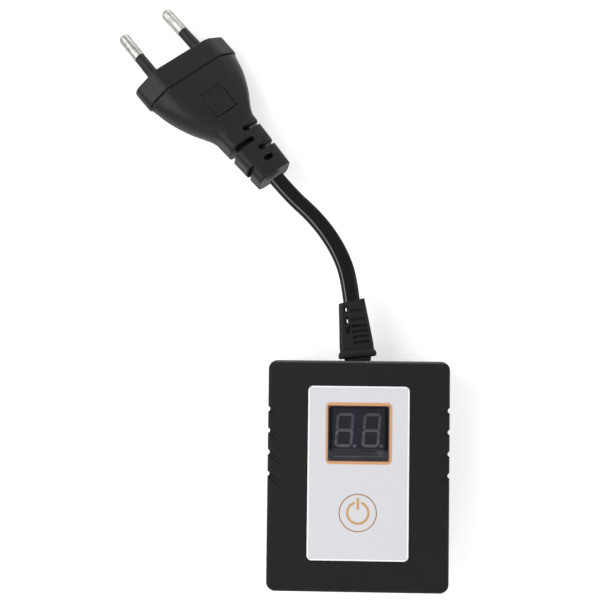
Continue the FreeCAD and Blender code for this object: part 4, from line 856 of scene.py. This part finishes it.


# Window: a smoked acrylic plate let into the panel, polished on the outside. Its rim and its
# foot hide what is behind them more than the middle does. Reflections are painted on it: a bluish
# tint along the sides, thin light lines along the foot and a pinkish patch at the lower right; the
# foot is painted lighter, with streaks.

WINDOW_Y = 13.1 * MM
WINDOW_HALF_WIDTH = 9.25 * MM
RIM_HALF_WIDTH = 9.05 * MM
RIM_HALF_LENGTH = 8.15 * MM
FOOT_Y = 7.9 * MM
UPPER_LINE_Y = 8.15 * MM
LOWER_LINE_Y = 6.0 * MM
LINE_HALF_LENGTH = 7.6 * MM
REFLECTION_PATCH_X = 6.7 * MM
REFLECTION_PATCH_Y = 7.2 * MM
smoke, shader, place = finish("window_smoke", (0.012, 0.013, 0.02), 0.08, specular_ior_level=0.12)
x, y = place.parts()[:2]
# Painted reflection: a bluish tint along the window's sides
side = (WINDOW_HALF_WIDTH - abs(x)).inside(1.6 * MM)
streaks = place.noise(1.2 * MM, 3, (0.2, 1, 1))
foot = (y - FOOT_Y).inside(0.7 * MM)
# Painted reflections: thin light lines along the window's foot
upper_reflected_line = (abs(y - UPPER_LINE_Y) - 0.1 * MM).inside(0.2 * MM)
lower_reflected_line = (abs(y - LOWER_LINE_Y) - 0.15 * MM).inside(0.4 * MM)
reflected_light_lines = upper_reflected_line.most(lower_reflected_line * 0.6) * (abs(x) - LINE_HALF_LENGTH).inside(0.8 * MM)
# Painted reflection: a pinkish light patch at the window's lower right
reflection_patch_reach = ((x - REFLECTION_PATCH_X) ** 2 + ((y - REFLECTION_PATCH_Y) * 1.6) ** 2) ** 0.5
reflection_patch = (reflection_patch_reach - 0.6 * MM).inside(2 * MM)
tone = (side * 0.9).blend((0.014, 0.014, 0.022), (0.012, 0.034, 0.055))
tone = (foot * streaks * 1.2).blend(tone, (0.046, 0.045, 0.055))
tone = (reflected_light_lines * streaks * 1.2).blend(tone, (0.16, 0.16, 0.17))
(reflection_patch * 0.55).blend(tone, (0.17, 0.14, 0.14)).into(shader, "Base Color")
rim = (RIM_HALF_WIDTH - abs(x)).inside(0.3 * MM)
rim = rim.most((RIM_HALF_LENGTH - abs(y - WINDOW_Y)).inside(0.3 * MM))
(rim.most(foot).most(reflection_patch) * 0.55 + 0.34).into(shader, "Alpha")
(place.noise(4 * MM, 2) * 0.06 + 0.05).into(shader, "Roughness")
dress(smoke, nodes["display_lens"])


# Front panel: a glossy white sheet with a bevelled rim, glued into the recess, and a highlight
# painted along the rim. An orange frame is printed round the window, and a thin ring round the key.

PANEL_Y = 0.9 * MM
PANEL_BACK = 29.4 * MM
PANEL_FRONT = 29.9 * MM
FACE_HALF_WIDTH = 15.1 * MM
FACE_HALF_LENGTH = 26.25 * MM
OPENING_HALF_WIDTH = 9.5 * MM
OPENING_HALF_LENGTH = 8.6 * MM
FRAME_X = 0.1 * MM
FRAME_Y = 13.13 * MM
FRAME_HALF_WIDTH = 10.25 * MM
FRAME_HALF_LENGTH = 9.5 * MM
FRAME_CORNER = 1.6 * MM
FRAME_INK = (0.62, 0.34, 0.17)
RING_RADIUS = 5.68 * MM
RING_INK = (0.56, 0.33, 0.19)
SIGN_RADIUS = 3.25 * MM
SIGN_GAP_HALF = 0.92 * MM
SIGN_BAR_Y = -8.37 * MM
SIGN_BAR_HALF = 1.82 * MM
SIGN_INK = (0.56, 0.33, 0.14)
KEY_HOLE_RADIUS = 5.8 * MM


def panel_white(name):
    """Glossy white: painted rim highlight and shade lines; frame, ring, power sign in orange ink."""
    material, shader, place = finish(name, (0.66, 0.66, 0.69), 0.2, specular_ior_level=0.3)
    x, y = place.parts()[:2]
    across = (abs(x - FRAME_X) - (FRAME_HALF_WIDTH - FRAME_CORNER)).most(0)
    along = (abs(y - FRAME_Y) - (FRAME_HALF_LENGTH - FRAME_CORNER)).most(0)
    frame_edge = (across * across + along * along) ** 0.5 - FRAME_CORNER
    radius = (x * x + (y - KEY_Y) * (y - KEY_Y)) ** 0.5
    cloud = place.noise(18 * MM, 2)
    white = cloud.blend((0.65, 0.65, 0.68), (0.68, 0.68, 0.705))
    # Painted highlight along the panel's rim, and a painted grey shade line just inside it
    edge = (abs(x) - FACE_HALF_WIDTH).most(abs(y - PANEL_Y) - FACE_HALF_LENGTH)
    white = (edge * -1).inside(0.12 * MM).blend(white, (0.93, 0.93, 0.94))
    inner_shade_line = (abs(edge + 0.25 * MM) - 0.05 * MM).inside(0.15 * MM)
    white = (inner_shade_line * 0.25).blend(white, (0.5, 0.5, 0.53))
    ring = (abs(radius - RING_RADIUS) - 0.2 * MM).inside(0.08 * MM)
    circle = (abs(radius - SIGN_RADIUS) - 0.38 * MM).inside(0.08 * MM)
    gap = (abs(x) - SIGN_GAP_HALF).inside(0.1 * MM) * (y > KEY_Y)
    bar = (abs(x) - 0.4 * MM).inside(0.08 * MM)
    bar = bar * (abs(y - SIGN_BAR_Y) - SIGN_BAR_HALF).inside(0.08 * MM)
    sign = (circle * (1 - gap)).most(bar)
    tone = ring.blend(white, RING_INK)
    tone = sign.blend(tone, SIGN_INK)
    tone = frame_edge.inside(0.1 * MM).blend(tone, FRAME_INK)
    # Painted shade: a dark brown line along the edge of the window opening
    opening = (abs(x) - OPENING_HALF_WIDTH).most(abs(y - WINDOW_Y) - OPENING_HALF_LENGTH)
    (opening.inside(0.12 * MM) * 0.85).blend(tone, (0.10, 0.04, 0.02)).into(shader, "Base Color")
    (cloud * 0.06 + 0.16).into(shader, "Roughness")
    place.noise(2.5 * MM, 2).bump(0.004 * MM).into(shader, "Normal")
    return material


def plate(name, outlines, back, front, edge):
    """A flat plate between two levels, with openings and rounded edges."""
    form = bmesh.new()
    rims = []
    for points in outlines:
        ring = [form.verts.new((x, y, front)) for x, y in points]
        rims += [form.edges.new((ring[i], ring[(i + 1) % len(ring)])) for i in range(len(ring))]
    bmesh.ops.triangle_fill(form, use_beauty=True, edges=rims)
    made = bmesh.ops.extrude_face_region(form, geom=list(form.faces))
    moved = [item for item in made["geom"] if isinstance(item, bmesh.types.BMVert)]
    bmesh.ops.translate(form, verts=moved, vec=(0, 0, back - front))
    bmesh.ops.recalc_face_normals(form, faces=form.faces)
    border = [e for e in form.edges if len(e.link_faces) == 2 and e.calc_face_angle(0) > 1.2]
    bmesh.ops.bevel(form, geom=border, offset=edge, segments=3, profile=0.5, affect="EDGES")
    piece = formed(name, form, 60)
    piece.modifiers.new("normals", "WEIGHTED_NORMAL").keep_sharp = True
    return piece


panel_outline = rounded_outline(31.2 * MM, 53.5 * MM, 1.5 * MM, 8, (0, PANEL_Y))
window_outline = rounded_outline(18.5 * MM, 16.7 * MM, 0.9 * MM, 8, (0, WINDOW_Y))
key_hole = []
for degrees in range(0, 360, 5):
    angle = math.radians(degrees)
    key_hole.append((KEY_HOLE_RADIUS * math.cos(angle), KEY_HOLE_RADIUS * math.sin(angle) + KEY_Y))
panel = plate("front_panel", [panel_outline, window_outline, key_hole], PANEL_BACK, PANEL_FRONT,
              0.1 * MM)
dress(panel_white("panel_white"), panel)
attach(panel, "case")
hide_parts("overlay_panel")


# Power key: a round of the same white sheet on a stem, pressed down onto the switch. The ring
# and the power sign are printed on it.

dress(panel_white("key_white"), nodes["power_key_cap"])


# Case screws: zinc-plated steel pan heads with a cross recess. They stand at the bottom of the
# four deep wells and pull the rear shell against the front one.

dress(steel, nodes["case_screws"])
